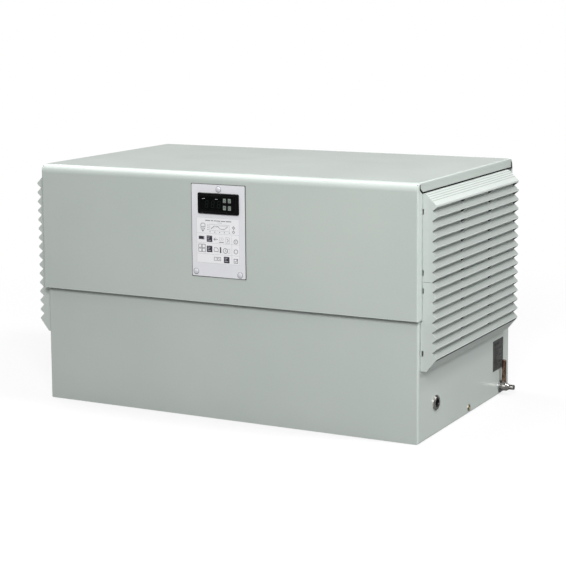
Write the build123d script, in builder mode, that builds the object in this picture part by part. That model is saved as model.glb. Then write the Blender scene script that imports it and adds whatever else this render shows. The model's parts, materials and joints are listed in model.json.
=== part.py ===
from build123d import *
from math import atan2, degrees
import os

os.makedirs("parts", exist_ok=True)

# Enclosure cooling unit that stands on a cabinet's roof: a folded sheet-steel housing under
# a wider hood, with a moulded louvre on each side. Millimetres. The front looks along -Y,
# the base rests at Z = 0, and the origin is under the middle of the whole outline.

# Hood
hood_width = 700.0
hood_depth = 418.0
unit_height = 410.0
hood_edge_height = 196.0
roll_radius = 13.5
side_bend = 2.5
side_flange = 16.0
front_return = 18.0
slit_width = 3.2
slit_setback = 8.0
slit_foot = 5.5
slit_top = 2.8
rear_rim = 3.0
rear_slit_width = 5.0
rear_lip = 30.0

# Lower housing
sheet = 1.5
bend_radius = 3.0
side_inset = 3.0
front_recess = 9.0
front_lap = 25.0
front_lap_flange = 14.0
foot_flange = 22.0
rear_lip_gap = 0.8
rear_wrap = 20.5
seam_gap = 0.4
fit_gap = 0.3

# Base and air ports
base_thickness = 2.0
gasket_width = 15.0
gasket_gap = 0.5
port_shift = 8.5
inlet_radius = 95.0
inlet_ring_height = 28.0
inlet_ring_wall = 2.0
inlet_flare = 8.0
outlet_length = 250.0
outlet_width = 180.0
outlet_corner = 3.0
collar_height = 30.0
collar_wall = 1.5
collar_foot = 10.0
roof_bolt_hole = 7.0
roof_bolt_margin = 52.0
roof_bolt_span_y = 296.0
divider_height = 104.0
divider_thickness = 1.5

# Louvres
louvre_reach = 23.0
louvre_front_gap = 0.8
louvre_rear_margin = 8.5
louvre_top_drop = 1.4
louvre_bottom_height = 115.0
first_tip_drop = 18.0
foot_slope_height = 22.5
blade_count = 16
blade_drop = 7.5
blade_nose = 2.2
blade_root = 2.0
top_shelf = 7.5
foot_shelf = 9.5
cheek_thickness = 3.0
rib_thickness = 2.4
rib_count = 2
ridge_count = 4
ridge_pitch = 3.3
ridge_width = 1.4
ridge_height = 0.6
module_gap = 0.4
clip_height = 8.5
clip_depth = 1.6
clip_margin = 28.0
window_margin = 14.0
window_corner = 6.0
screen_thickness = 1.0
screen_lap = 8.0

# Control plate and controller
plate_width = 100.0
plate_height = 152.0
plate_top_drop = 18.5
plate_thickness = 1.0
plate_corner = 3.0
controller_width = 76.2
controller_height = 34.2
controller_drop = 14.0
controller_shift = 1.0
bezel_depth = 3.0
bezel_corner = 2.5
bezel_chamfer = 0.8
cutout_width = 71.0
cutout_height = 29.0
controller_length = 55.0
window_width = 40.0
window_height = 20.0
window_shift = -12.0
window_recess = 0.8
key_width = 5.4
key_height = 7.0
key_gap_x = 3.8
key_gap_y = 4.8
key_shift = 17.3
key_stand = 0.4
key_recess = 1.0

# Fittings on the right-hand wall: the gland is set out from the hood's front, the plate
# and the drain from the rear end of the wall
gland_setback = 80.5
gland_height = 51.5
gland_rim_radius = 12.3
gland_rim_depth = 3.2
gland_thread_radius = 10.0
gland_bore_radius = 7.6
gland_length = 18.0
gland_hole_play = 0.25
seal_bore_radius = 5.0
seal_length = 12.0
seal_setback = 1.2
locknut_flats = 25.0
locknut_depth = 5.0
locknut_gap = 0.2
label_width = 48.0
label_height = 53.0
label_seam_gap = 9.5
label_bottom = 46.0
label_thickness = 0.8
drain_seam_gap = 22.0
drain_height = 13.5
drain_flange_radius = 11.0
drain_flange_depth = 2.5
drain_body_radius = 7.2
drain_body_length = 10.0
drain_cone_length = 5.0
drain_tube_radius = 4.3
drain_reach = 26.0
drain_bore_radius = 3.0
drain_tail_length = 12.0
drain_tail_radius = 6.0
standpipe_radius = 4.0
standpipe_top = 61.0
standpipe_boss_radius = 4.6
standpipe_boss_top = 10.0
standpipe_chamfer = 1.5

# Places that follow from the sizes above
half_hood = hood_width / 2
controls_stand = plate_thickness + bezel_depth + key_stand
front_y = (controls_stand - hood_depth) / 2
rear_y = front_y + hood_depth
wall_x = half_hood - side_inset
housing_front = front_y + front_recess
housing_rear = rear_y - sheet - rear_lip_gap
wall_end = housing_rear - rear_wrap
housing_mid = (housing_front + housing_rear) / 2
housing_depth = housing_rear - housing_front
housing_top = unit_height - sheet - fit_gap
front_panel_top = hood_edge_height + front_lap
flange_bottom = unit_height - side_flange
rear_lip_bottom = unit_height - rear_lip
rear_panel_top = unit_height - roll_radius
inner_x = wall_x - sheet
port_offset = wall_x / 2 - port_shift
roof_bolt_span_x = 2 * (wall_x - roof_bolt_margin)
base_top = sheet + base_thickness
louvre_front = front_y + front_return + louvre_front_gap
louvre_rear = wall_end - louvre_rear_margin
louvre_length = louvre_rear - louvre_front
louvre_mid = (louvre_front + louvre_rear) / 2
louvre_top = flange_bottom - louvre_top_drop
tip_x = half_hood + louvre_reach
first_tip = louvre_top - first_tip_drop
last_tip = louvre_bottom_height + foot_slope_height
louvre_pitch = (first_tip - last_tip) / (blade_count - 1)
module_split = first_tip - (blade_count / 2) * louvre_pitch + blade_drop
window_low = louvre_bottom_height + window_margin
window_high = louvre_top - window_margin
plate_top = unit_height - plate_top_drop
plate_mid = plate_top - plate_height / 2
plate_face = front_y - plate_thickness
bezel_face = plate_face - bezel_depth
controller_mid = plate_top - controller_drop - controller_height / 2
gland_y = front_y + gland_setback
drain_y = wall_end - drain_seam_gap
label_y = wall_end - label_seam_gap - label_width / 2
label_z = label_bottom + label_height / 2


def save(piece, name):
    """Name a finished piece and write it as its own file."""
    piece.label = name
    export_step(piece, f"parts/{name}.step")


def hood_block(inset):
    """The hood's solid form with its faces moved inwards: rolled at front and rear, bent at the sides."""
    reach = half_hood - inset
    depth = hood_depth - 2 * inset
    height = unit_height - inset - hood_edge_height
    middle = (front_y + rear_y) / 2
    with BuildPart() as block:
        with BuildSketch(Plane.YZ.offset(-reach)):
            with Locations((middle, hood_edge_height + height / 2)):
                side = Rectangle(depth, height)
            fillet(side.vertices().group_by(Axis.Y)[-1], roll_radius - inset)
        extrude(amount=2 * reach)
        with BuildSketch(Plane.XZ.offset(-rear_y)):
            with Locations((0, hood_edge_height + height / 2)):
                face = Rectangle(2 * reach, height)
            fillet(face.vertices().group_by(Axis.Y)[-1], side_bend - inset)
        extrude(amount=hood_depth, mode=Mode.INTERSECT)
        with BuildSketch(Plane.XY.offset(hood_edge_height)):
            with Locations((0, middle)):
                plan = Rectangle(2 * reach, depth)
            fillet(plan.vertices().group_by(Axis.Y)[0], side_bend - inset)
        extrude(amount=height, mode=Mode.INTERSECT)
    return block.part


def make_hood():
    """One folded sheet: front, rolled edges, top, rear lip, side flanges and returns."""
    slit_y = front_y + slit_setback
    slit_head = unit_height - slit_top
    slit_bend = flange_bottom + slit_foot
    slit_run = front_return - slit_setback + slit_width
    slit_fall = slit_foot + slit_width
    slit_middle = (slit_y + slit_run / 2, slit_bend - slit_fall / 2)
    slit_angle = -degrees(atan2(slit_fall, slit_run))
    slit_length = (slit_run**2 + slit_fall**2) ** 0.5
    rim_y = rear_y - rear_rim
    gap_height = side_flange - rear_rim + sheet
    gap_middle = flange_bottom - sheet + gap_height / 2
    with BuildPart() as hood:
        add(hood_block(0))
        add(hood_block(sheet), mode=Mode.SUBTRACT)
        # The sides and the rear stay open below the flange, behind the front return.
        with BuildSketch(Plane.YZ.offset(-hood_width)):
            with BuildLine():
                Polyline(
                    (front_y + front_return, hood_edge_height - sheet),
                    (front_y + front_return, flange_bottom),
                    (rear_y - sheet, flange_bottom),
                    (rear_y - sheet, rear_lip_bottom),
                    (rear_y + sheet, rear_lip_bottom),
                    (rear_y + sheet, hood_edge_height - sheet),
                    close=True,
                )
            make_face()
        extrude(amount=2 * hood_width, mode=Mode.SUBTRACT)
        for side in (-1, 1):
            # A slit parts each flange from the front return.
            with BuildSketch(Plane.YZ.offset(side * (half_hood - sheet / 2))):
                with Locations((slit_y, (slit_head + slit_bend) / 2)):
                    Rectangle(slit_width, slit_head - slit_bend)
                with Locations(Location(slit_middle, slit_angle)):
                    Rectangle(slit_length, slit_width)
            extrude(amount=sheet, both=True, mode=Mode.SUBTRACT)
            # A wider gap, curved like the roll, parts it from the rim of the rear lip.
            with BuildSketch(Plane.YZ.offset(side * (half_hood - sheet / 2))):
                with Locations((rim_y - roll_radius, gap_middle)):
                    gap = Rectangle(2 * roll_radius, gap_height)
                fillet(gap.vertices().sort_by(Axis((0, 0, 0), (1, 1, 0)))[-1], roll_radius - rear_rim)
                with Locations((rim_y - rear_slit_width / 2, gap_middle)):
                    Rectangle(rear_slit_width, gap_height, mode=Mode.INTERSECT)
            extrude(amount=sheet, both=True, mode=Mode.SUBTRACT)
        # The controller passes through a standard rectangular panel cut-out.
        with BuildSketch(Plane.XZ.offset(-front_y)):
            with Locations((controller_shift, controller_mid)):
                Rectangle(cutout_width, cutout_height)
        extrude(amount=sheet * 2, both=True, mode=Mode.SUBTRACT)
    save(hood.part, "hood_cover")


def housing_block(inset):
    """The lower housing's solid form with its faces moved inwards, bent at its foot and corners."""
    reach = wall_x - inset
    depth = housing_depth - 2 * inset
    height = housing_top - inset
    bend = bend_radius - inset
    with BuildPart() as block:
        with BuildSketch(Plane.XY.offset(inset)):
            with Locations((0, housing_mid)):
                RectangleRounded(2 * reach, depth, bend)
        extrude(amount=height)
        with BuildSketch(Plane.XZ.offset(-housing_rear)):
            with Locations((0, inset + height / 2)):
                face = Rectangle(2 * reach, height)
            fillet(face.vertices().group_by(Axis.Y)[0], bend)
        extrude(amount=housing_depth, mode=Mode.INTERSECT)
        with BuildSketch(Plane.YZ.offset(-wall_x)):
            with Locations((housing_mid, inset + height / 2)):
                side = Rectangle(depth, height)
            fillet(side.vertices().group_by(Axis.Y)[0], bend)
        extrude(amount=2 * wall_x, mode=Mode.INTERSECT)
    return block.part


def housing_shell():
    """The lower housing's folded sheet, before it is parted: open at its top and inside its foot."""
    with BuildPart() as shell:
        add(housing_block(0))
        add(housing_block(sheet), mode=Mode.SUBTRACT)
        with BuildSketch():
            with Locations((0, housing_mid)):
                Rectangle(2 * (wall_x - foot_flange), housing_depth - 2 * foot_flange)
        extrude(amount=sheet, both=True, mode=Mode.SUBTRACT)
    return shell.part


def corner_outline():
    """Plan of the front wall: it ends at its bends, and its foot is mitred at the corners."""
    right = [
        (wall_x + sheet, housing_front - sheet),
        (wall_x + sheet, housing_front + bend_radius),
        (wall_x - bend_radius, housing_front + bend_radius),
        (wall_x - foot_flange, housing_front + foot_flange),
    ]
    return right + [(-x, y) for x, y in reversed(right)]


def make_lower_walls():
    """The front wall with its bends, and both side walls, welded to it, on a folded foot."""
    with BuildPart() as shell:
        add(housing_shell())
        split(bisect_by=Plane.XZ.offset(-wall_end), keep=Keep.TOP)
        # The rear panel brings the foot's rear flange, so here it is cut away.
        with BuildSketch():
            with Locations((0, wall_end)):
                Rectangle(2 * (wall_x - foot_flange), 2 * foot_flange)
        extrude(amount=sheet, both=True, mode=Mode.SUBTRACT)
        # Above the lap behind the hood the front is open between two narrow flanges.
        with BuildSketch(Plane.XZ.offset(-housing_front)):
            with Locations((0, (front_panel_top + unit_height) / 2)):
                Rectangle(2 * (wall_x - front_lap_flange), unit_height - front_panel_top)
        extrude(amount=2 * bend_radius, both=True, mode=Mode.SUBTRACT)
        # The side walls open behind the louvres and clear the hood's rolled front edge.
        with BuildSketch(Plane.YZ.offset(-hood_width)):
            with Locations((louvre_mid, (window_low + window_high) / 2)):
                RectangleRounded(
                    louvre_length - 2 * window_margin,
                    window_high - window_low,
                    window_corner,
                )
            with BuildLine():
                Polyline(
                    (housing_front - sheet, housing_top + sheet),
                    (housing_front + roll_radius, housing_top + sheet),
                    (housing_front - sheet, housing_top - roll_radius),
                    close=True,
                )
            make_face()
        extrude(amount=2 * hood_width, mode=Mode.SUBTRACT)
        with BuildSketch(Plane.YZ.offset(wall_x - bend_radius)):
            with Locations((gland_y, gland_height)):
                Circle(gland_thread_radius + gland_hole_play)
            with Locations((drain_y, drain_height)):
                Circle(drain_tail_radius + gland_hole_play)
        extrude(amount=2 * bend_radius, mode=Mode.SUBTRACT)
    with BuildPart() as front_wall:
        add(shell.part)
        with BuildSketch():
            with BuildLine():
                Polyline(*corner_outline(), close=True)
            make_face()
        extrude(amount=unit_height, mode=Mode.INTERSECT)
    with BuildPart() as side_walls:
        add(shell.part)
        with BuildSketch():
            with BuildLine():
                Polyline(*corner_outline(), close=True)
            make_face()
        extrude(amount=unit_height, mode=Mode.SUBTRACT)
    with BuildPart() as right_wall:
        add(side_walls.part)
        split(bisect_by=Plane.YZ, keep=Keep.TOP)
    with BuildPart() as left_wall:
        add(side_walls.part)
        split(bisect_by=Plane.YZ, keep=Keep.BOTTOM)
    save(front_wall.part, "front_wall")
    save(right_wall.part, "right_wall")
    save(left_wall.part, "left_wall")


def make_rear_panel():
    """The rear panel, wrapped a little way round both sides and under the foot."""
    with BuildPart() as panel:
        add(housing_shell())
        split(bisect_by=Plane.XZ.offset(-wall_end - seam_gap), keep=Keep.BOTTOM)
        split(bisect_by=Plane.XY.offset(rear_panel_top), keep=Keep.BOTTOM)
    save(panel.part, "rear_panel")


def make_base():
    """The base plate on the foot, and the sealing strip under it."""
    reach_x = wall_x - bend_radius - fit_gap
    reach_y = housing_depth / 2 - bend_radius - fit_gap
    strip_x = wall_x - foot_flange - gasket_gap
    strip_y = housing_depth / 2 - foot_flange - gasket_gap
    with BuildPart() as base:
        with BuildSketch(Plane.XY.offset(sheet)):
            with Locations((0, housing_mid)):
                Rectangle(2 * reach_x, 2 * reach_y)
            with Locations((-port_offset, housing_mid)):
                Circle(inlet_radius, mode=Mode.SUBTRACT)
            with Locations((port_offset, housing_mid)):
                RectangleRounded(outlet_length, outlet_width, outlet_corner, mode=Mode.SUBTRACT)
            with Locations((0, housing_mid)):
                with GridLocations(roof_bolt_span_x, roof_bolt_span_y, 2, 2):
                    Circle(roof_bolt_hole / 2, mode=Mode.SUBTRACT)
        extrude(amount=base_thickness)
    save(base.part, "base_plate")
    with BuildPart() as gasket:
        with BuildSketch():
            with Locations((0, housing_mid)):
                Rectangle(2 * strip_x, 2 * strip_y)
                Rectangle(
                    2 * (strip_x - gasket_width),
                    2 * (strip_y - gasket_width),
                    mode=Mode.SUBTRACT,
                )
        extrude(amount=sheet)
    save(gasket.part, "base_gasket")


def make_ducts():
    """A conical ring round the air inlet and a folded collar round the outlet."""
    throat = inlet_radius - port_offset
    mouth = throat + inlet_flare
    ring_top = base_top + inlet_ring_height
    with BuildPart() as ring:
        with BuildSketch(Plane.XZ.offset(-housing_mid)):
            with BuildLine():
                Polyline(
                    (throat, ring_top),
                    (mouth, base_top),
                    (mouth + inlet_ring_wall, base_top),
                    (throat + inlet_ring_wall, ring_top),
                    close=True,
                )
            make_face()
        revolve(axis=Axis((-port_offset, housing_mid, 0), (0, 0, 1)))
    save(ring.part, "inlet_ring")
    with BuildPart() as collar:
        with BuildSketch(Plane.XY.offset(base_top)):
            with Locations((port_offset, housing_mid)):
                Rectangle(outlet_length + 2 * collar_foot, outlet_width + 2 * collar_foot)
        extrude(amount=collar_wall)
        with BuildSketch(Plane.XY.offset(base_top)):
            with Locations((port_offset, housing_mid)):
                RectangleRounded(
                    outlet_length + 2 * collar_wall,
                    outlet_width + 2 * collar_wall,
                    outlet_corner + collar_wall,
                )
        extrude(amount=collar_height)
        with BuildSketch(Plane.XY.offset(base_top)):
            with Locations((port_offset, housing_mid)):
                RectangleRounded(outlet_length, outlet_width, outlet_corner)
        extrude(amount=collar_height, mode=Mode.SUBTRACT)
    save(collar.part, "outlet_collar")


def make_divider():
    """The plate between the outside-air section and the cabinet-air section."""
    with BuildPart() as divider:
        with BuildSketch(Plane.XY.offset(divider_height)):
            with Locations((0, housing_mid)):
                plate = Rectangle(
                    2 * (inner_x - fit_gap),
                    housing_depth - 2 * (sheet + fit_gap),
                )
            chamfer(plate.vertices(), bend_radius)
        extrude(amount=divider_thickness)
    save(divider.part, "divider_plate")


def saw_outline():
    """Corner points of a cheek: shelf, top slope, one notch a blade, foot slope, foot."""
    points = [(wall_x, louvre_top), (wall_x + top_shelf, louvre_top)]
    for index in range(blade_count):
        tip = first_tip - index * louvre_pitch
        points += [(tip_x, tip), (tip_x, tip - blade_nose)]
        if index < blade_count - 1:
            points.append((tip_x - blade_drop, tip - louvre_pitch + blade_drop))
    points += [(wall_x + foot_shelf, louvre_bottom_height), (wall_x, louvre_bottom_height)]
    return points


def blade_outline(tip):
    """Corner points of a blade: from its blunt tip it climbs inwards at 45 degrees."""
    root_x = wall_x + blade_root
    climb = tip_x - root_x
    return [
        (tip_x, tip),
        (tip_x, tip - blade_nose),
        (root_x, tip - blade_nose + climb),
        (root_x, tip + climb),
    ]


def top_cap_outline():
    """The shelf and slope that close the louvre at its top."""
    return [
        (wall_x, louvre_top),
        (wall_x + top_shelf, louvre_top),
        (tip_x, first_tip),
        (tip_x, first_tip - blade_nose),
        (wall_x + top_shelf - blade_nose / 2, louvre_top - blade_nose),
        (wall_x, louvre_top - blade_nose),
    ]


def foot_cap_outline():
    """The slope and shelf that close the louvre at its foot."""
    return [
        (wall_x, louvre_bottom_height),
        (wall_x + foot_shelf, louvre_bottom_height),
        (tip_x, last_tip - blade_nose),
        (tip_x - blade_nose, last_tip),
        (wall_x + foot_shelf - blade_nose / 2, louvre_bottom_height + blade_nose),
        (wall_x, louvre_bottom_height + blade_nose),
    ]


def make_louvres():
    """A moulded louvre: saw-toothed cheeks and ribs that carry overlapping blades."""
    bay = (louvre_length - cheek_thickness) / (rib_count + 1)
    carriers = [louvre_rear - step * bay for step in range(rib_count + 2)]
    thicknesses = [cheek_thickness] + [rib_thickness] * rib_count + [cheek_thickness]
    slope_start = Vector(wall_x + top_shelf, 0, louvre_top)
    slope_end = Vector(tip_x, 0, first_tip)
    slope = (slope_end - slope_start).normalized()
    slope_angle = degrees(atan2(slope.Z, slope.X))
    clip_heights = [
        louvre_top - clip_margin,
        module_split + clip_margin / 2,
        module_split - clip_margin / 2,
        louvre_bottom_height + clip_margin,
    ]
    with BuildPart() as louvre:
        blades = [blade_outline(first_tip - step * louvre_pitch) for step in range(1, blade_count)]
        with BuildSketch(Plane.XZ.offset(-louvre_rear)):
            for outline in [top_cap_outline(), *blades, foot_cap_outline()]:
                with BuildLine():
                    Polyline(*outline, close=True)
                make_face()
        extrude(amount=louvre_length)
        for place, thickness in zip(carriers, thicknesses):
            with BuildSketch(Plane.XZ.offset(-place)):
                with BuildLine():
                    Polyline(*saw_outline(), close=True)
                make_face()
            extrude(amount=thickness)
        # Fine ridges along the upper half of the top slope.
        for ridge in range(ridge_count):
            crest = slope_start + slope * ((ridge + 1) * ridge_pitch)
            with BuildSketch(Plane.XZ.offset(-louvre_rear)):
                with Locations(Location((crest.X, crest.Z), slope_angle)):
                    Rectangle(ridge_width, 2 * ridge_height)
            extrude(amount=louvre_length)
        # Clip pockets at the inner edge of both cheeks.
        for end in (louvre_front, louvre_rear):
            with BuildSketch(Plane.XZ.offset(-end)):
                with Locations(*[(half_hood, height) for height in clip_heights]):
                    Rectangle(2 * clip_depth, clip_height)
            extrude(amount=cheek_thickness * 1.5, both=True, mode=Mode.SUBTRACT)
    with BuildPart() as upper:
        add(louvre.part)
        split(bisect_by=Plane.XY.offset(module_split + module_gap / 2), keep=Keep.TOP)
    with BuildPart() as lower:
        add(louvre.part)
        split(bisect_by=Plane.XY.offset(module_split - module_gap / 2), keep=Keep.BOTTOM)
    for module, name in ((upper, "upper_louvre"), (lower, "lower_louvre")):
        save(module.part, f"right_{name}")
        save(mirror(module.part, about=Plane.YZ), f"left_{name}")


def make_screens():
    """A thin dust screen behind each wall opening."""
    low = window_low - screen_lap
    high = window_high + screen_lap
    with BuildPart() as screen:
        with BuildSketch(Plane.YZ.offset(inner_x - screen_thickness)):
            with Locations((louvre_mid, (low + high) / 2)):
                Rectangle(louvre_length - 2 * (window_margin - screen_lap), high - low)
        extrude(amount=screen_thickness)
    save(screen.part, "right_dust_screen")
    save(mirror(screen.part, about=Plane.YZ), "left_dust_screen")


def make_controls():
    """The white control plate, the black controller with its window, and four keys."""
    with BuildPart() as plate:
        with BuildSketch(Plane.XZ.offset(-front_y)):
            with Locations((0, plate_mid)):
                RectangleRounded(plate_width, plate_height, plate_corner)
            with Locations((controller_shift, controller_mid)):
                Rectangle(cutout_width, cutout_height, mode=Mode.SUBTRACT)
        extrude(amount=plate_thickness)
    save(plate.part, "control_plate")
    column_x = (key_width + key_gap_x) / 2
    row_z = (key_height + key_gap_y) / 2
    window_x = controller_shift + window_shift
    key_x = controller_shift + key_shift
    key_points = [
        (key_x + column * column_x, controller_mid + row * row_z)
        for column in (-1, 1)
        for row in (-1, 1)
    ]
    with BuildPart() as controller:
        with BuildSketch(Plane.XZ.offset(-plate_face)):
            with Locations((controller_shift, controller_mid)):
                RectangleRounded(controller_width, controller_height, bezel_corner)
        extrude(amount=bezel_depth)
        chamfer(controller.faces().sort_by(Axis.Y)[0].edges(), bezel_chamfer)
        with BuildSketch(Plane.XZ.offset(-plate_face)):
            with Locations((controller_shift, controller_mid)):
                Rectangle(cutout_width - 2 * fit_gap, cutout_height - 2 * fit_gap)
        extrude(amount=-controller_length)
        with BuildSketch(Plane.XZ.offset(-bezel_face)):
            with Locations((window_x, controller_mid)):
                Rectangle(window_width, window_height)
        extrude(amount=-window_recess, mode=Mode.SUBTRACT)
        with BuildSketch(Plane.XZ.offset(-bezel_face)):
            with Locations(*key_points):
                Rectangle(key_width, key_height)
        extrude(amount=-key_recess, mode=Mode.SUBTRACT)
    save(controller.part, "controller_body")
    with BuildPart() as window:
        with BuildSketch(Plane.XZ.offset(-bezel_face - window_recess)):
            with Locations((window_x, controller_mid)):
                Rectangle(window_width - fit_gap, window_height - fit_gap)
        extrude(amount=window_recess / 2)
    save(window.part, "display_window")
    with BuildPart() as keys:
        with BuildSketch(Plane.XZ.offset(-bezel_face - key_recess)):
            with Locations(*key_points):
                Rectangle(key_width - fit_gap, key_height - fit_gap)
        extrude(amount=key_recess + key_stand)
    save(keys.part, "controller_keys")


def make_gland():
    """Nickel-plated cable gland with a rubber seal and an inner locknut."""
    axis = Plane(origin=(wall_x, gland_y, gland_height), x_dir=(0, 1, 0), z_dir=(1, 0, 0))
    nut_x = inner_x - locknut_gap
    inside = Plane(origin=(nut_x, gland_y, gland_height), x_dir=(0, 1, 0), z_dir=(-1, 0, 0))
    with BuildPart() as gland:
        with BuildSketch(axis):
            Circle(gland_rim_radius)
        extrude(amount=gland_rim_depth)
        chamfer(gland.faces().sort_by(Axis.X)[-1].edges(), gland_rim_depth / 2)
        with BuildSketch(axis):
            Circle(gland_thread_radius)
        extrude(amount=-gland_length)
        with BuildSketch(axis.offset(gland_rim_depth)):
            Circle(gland_bore_radius)
        extrude(amount=-gland_length - gland_rim_depth, mode=Mode.SUBTRACT)
    save(gland.part, "gland_body")
    with BuildPart() as seal:
        with BuildSketch(axis.offset(gland_rim_depth - seal_setback)):
            Circle(gland_bore_radius - fit_gap / 3)
            Circle(seal_bore_radius, mode=Mode.SUBTRACT)
        extrude(amount=-seal_length)
    save(seal.part, "gland_seal")
    with BuildPart() as locknut:
        with BuildSketch(inside):
            RegularPolygon(locknut_flats / 2, 6, major_radius=False)
            Circle(gland_thread_radius + gland_hole_play, mode=Mode.SUBTRACT)
        extrude(amount=locknut_depth)
    save(locknut.part, "gland_locknut")


def make_label():
    """The rating plate on the right-hand wall, left bare."""
    with BuildPart() as label:
        with BuildSketch(Plane.YZ.offset(wall_x)):
            with Locations((label_y, label_z)):
                Rectangle(label_width, label_height)
        extrude(amount=label_thickness)
    save(label.part, "rating_plate")


def make_drain():
    """Condensate drain: wall flange, hose nozzle and the upright brass stub on it."""
    wall = Plane(origin=(wall_x, drain_y, drain_height), x_dir=(0, 1, 0), z_dir=(1, 0, 0))
    centre = Axis((wall_x, drain_y, drain_height), (1, 0, 0))
    start = wall_x + drain_flange_depth
    body_end = start + drain_body_length
    cone_end = body_end + drain_cone_length
    tip = wall_x + drain_reach
    stub_x = start + standpipe_boss_radius + fit_gap
    with BuildPart() as flange:
        with BuildSketch(wall):
            Circle(drain_flange_radius)
            Circle(drain_tail_radius + fit_gap, mode=Mode.SUBTRACT)
        extrude(amount=drain_flange_depth)
        outer_rings = flange.edges().filter_by(GeomType.CIRCLE).group_by(SortBy.RADIUS)[-1]
        chamfer(outer_rings.sort_by(Axis.X)[-1], drain_flange_depth / 2)
    save(flange.part, "drain_flange")
    with BuildPart() as nozzle:
        with BuildSketch(Plane.XZ.offset(-drain_y)):
            with BuildLine():
                Polyline(
                    (wall_x - drain_tail_length, drain_height + drain_bore_radius),
                    (wall_x - drain_tail_length, drain_height + drain_tail_radius),
                    (start, drain_height + drain_tail_radius),
                    (start, drain_height + drain_body_radius),
                    (body_end, drain_height + drain_body_radius),
                    (cone_end, drain_height + drain_tube_radius),
                    (tip, drain_height + drain_tube_radius),
                    (tip, drain_height + drain_bore_radius),
                    close=True,
                )
            make_face()
        revolve(axis=centre)
        with BuildSketch(Plane.XY.offset(drain_height + drain_bore_radius + sheet)):
            with Locations((stub_x, drain_y)):
                Circle(standpipe_boss_radius)
        extrude(amount=standpipe_boss_top - drain_bore_radius - sheet)
    save(nozzle.part, "drain_nozzle")
    with BuildPart() as stub:
        with BuildSketch(Plane.XY.offset(drain_height + standpipe_boss_top)):
            with Locations((stub_x, drain_y)):
                Circle(standpipe_radius)
        extrude(amount=standpipe_top - drain_height - standpipe_boss_top)
        chamfer(stub.faces().sort_by(Axis.Z)[-1].edges(), standpipe_chamfer)
    save(stub.part, "drain_standpipe")


make_hood()
make_lower_walls()
make_rear_panel()
make_base()
make_ducts()
make_divider()
make_louvres()
make_screens()
make_controls()
make_gland()
make_label()
make_drain()
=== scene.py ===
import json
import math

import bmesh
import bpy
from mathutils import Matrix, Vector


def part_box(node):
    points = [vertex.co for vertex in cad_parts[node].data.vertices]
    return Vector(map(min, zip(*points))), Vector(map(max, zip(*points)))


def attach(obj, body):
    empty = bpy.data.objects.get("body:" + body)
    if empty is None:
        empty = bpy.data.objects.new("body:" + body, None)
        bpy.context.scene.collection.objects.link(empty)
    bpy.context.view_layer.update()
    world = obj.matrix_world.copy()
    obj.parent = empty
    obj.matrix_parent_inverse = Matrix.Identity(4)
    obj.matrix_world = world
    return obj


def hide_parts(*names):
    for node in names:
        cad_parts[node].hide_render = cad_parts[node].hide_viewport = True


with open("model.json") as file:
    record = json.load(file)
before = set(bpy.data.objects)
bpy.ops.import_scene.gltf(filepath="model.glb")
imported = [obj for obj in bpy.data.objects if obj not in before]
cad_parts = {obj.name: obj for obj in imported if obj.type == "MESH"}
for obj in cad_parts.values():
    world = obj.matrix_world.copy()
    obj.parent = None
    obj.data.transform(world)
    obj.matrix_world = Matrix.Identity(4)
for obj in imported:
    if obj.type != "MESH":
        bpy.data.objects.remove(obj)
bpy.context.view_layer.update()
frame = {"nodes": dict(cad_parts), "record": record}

# %% [markdown]
# An enclosure cooling unit stands on the roof of a cabinet: a folded sheet-steel housing under a
# wider hood, with a moulded louvre on each side and a small control plate on the front. The
# imported model gives every rigid piece at its real size. This lesson gives each of them a finish,
# and adds what is too fine for the solids: soft edges, seals, screws, print and key signs. Some of
# it is painted light: dark tapes and finishes stand in for shade, and a paler one for a highlight.
#
# Everything is in metres. The front looks along -Y, and +X is to the right. Places are read from
# the boxes of the imported pieces, so that what is added stays on them.

MM = 0.001
nodes = frame["nodes"]
hood_low, hood_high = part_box("hood_cover")
plate_low, plate_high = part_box("control_plate")
louvre_low, louvre_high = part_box("right_upper_louvre")
foot_low, foot_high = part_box("right_lower_louvre")
wall_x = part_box("right_wall")[1].x
tip_x = louvre_high.x
plate_face = plate_low.y
print("hood is", [round(v / MM, 1) for v in hood_high - hood_low], "mm")

# %% [markdown]
# A few small helpers keep the rest short. `linked` puts a new object into the scene, at the
# origin and unturned, as the imported pieces are. `on_unit` lets a finished piece ride on the
# unit's one body. `add_node` makes a node and sets its plain settings, and `fill` sets its
# inputs: a number goes in as a number, and a socket becomes a link. `reckon` is one Math node,
# and `blend` mixes two shaders.

# %% Helpers for objects and nodes
def linked(name, data):
    item = bpy.data.objects.new(name, data)
    bpy.context.scene.collection.objects.link(item)
    return item


def on_unit(piece):
    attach(piece, "root")
    return piece


def add_node(tree, kind, **settings):
    node = tree.nodes.new(kind)
    for name, value in settings.items():
        setattr(node, name, value)
    return node


def fill(tree, node, inputs):
    for key, value in inputs.items():
        if isinstance(value, bpy.types.NodeSocket):
            tree.links.new(value, node.inputs[key])
        else:
            node.inputs[key].default_value = value
    return node


def reckon(tree, way, *values, clamp=False):
    node = add_node(tree, "ShaderNodeMath", operation=way, use_clamp=clamp)
    return fill(tree, node, dict(enumerate(values))).outputs[0]


def blend(tree, share, first, second):
    node = add_node(tree, "ShaderNodeMixShader")
    return fill(tree, node, {0: share, 1: first, 2: second}).outputs[0]


print("helpers are ready for", len(nodes), "rigid pieces")

# %% [markdown]
# The camera comes next, because every choice of detail depends on what it sees. A picture of a
# box gives its camera away: the edges of the box run to three vanishing points. Fitting the
# corners gave a long lens, a view from 28 degrees to the right and 7 degrees above, and a
# picture that was cropped, so its optical axis meets it above the middle. A lens shift says
# that exactly, where turning the camera would bend the upright edges.

# %% Camera
FOCAL_PIXELS = 1625.0
PICTURE_PIXELS = 566.0
AXIS_ROW = 200.0
SENSOR = 36.0
CAMERA_PLACE = (1.3103, -2.4635, 0.7004)
CAMERA_TILT = math.radians(90 - 7.316)
CAMERA_TURN = math.radians(27.842)
CAMERA_ROLL = math.radians(-0.449)

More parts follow.
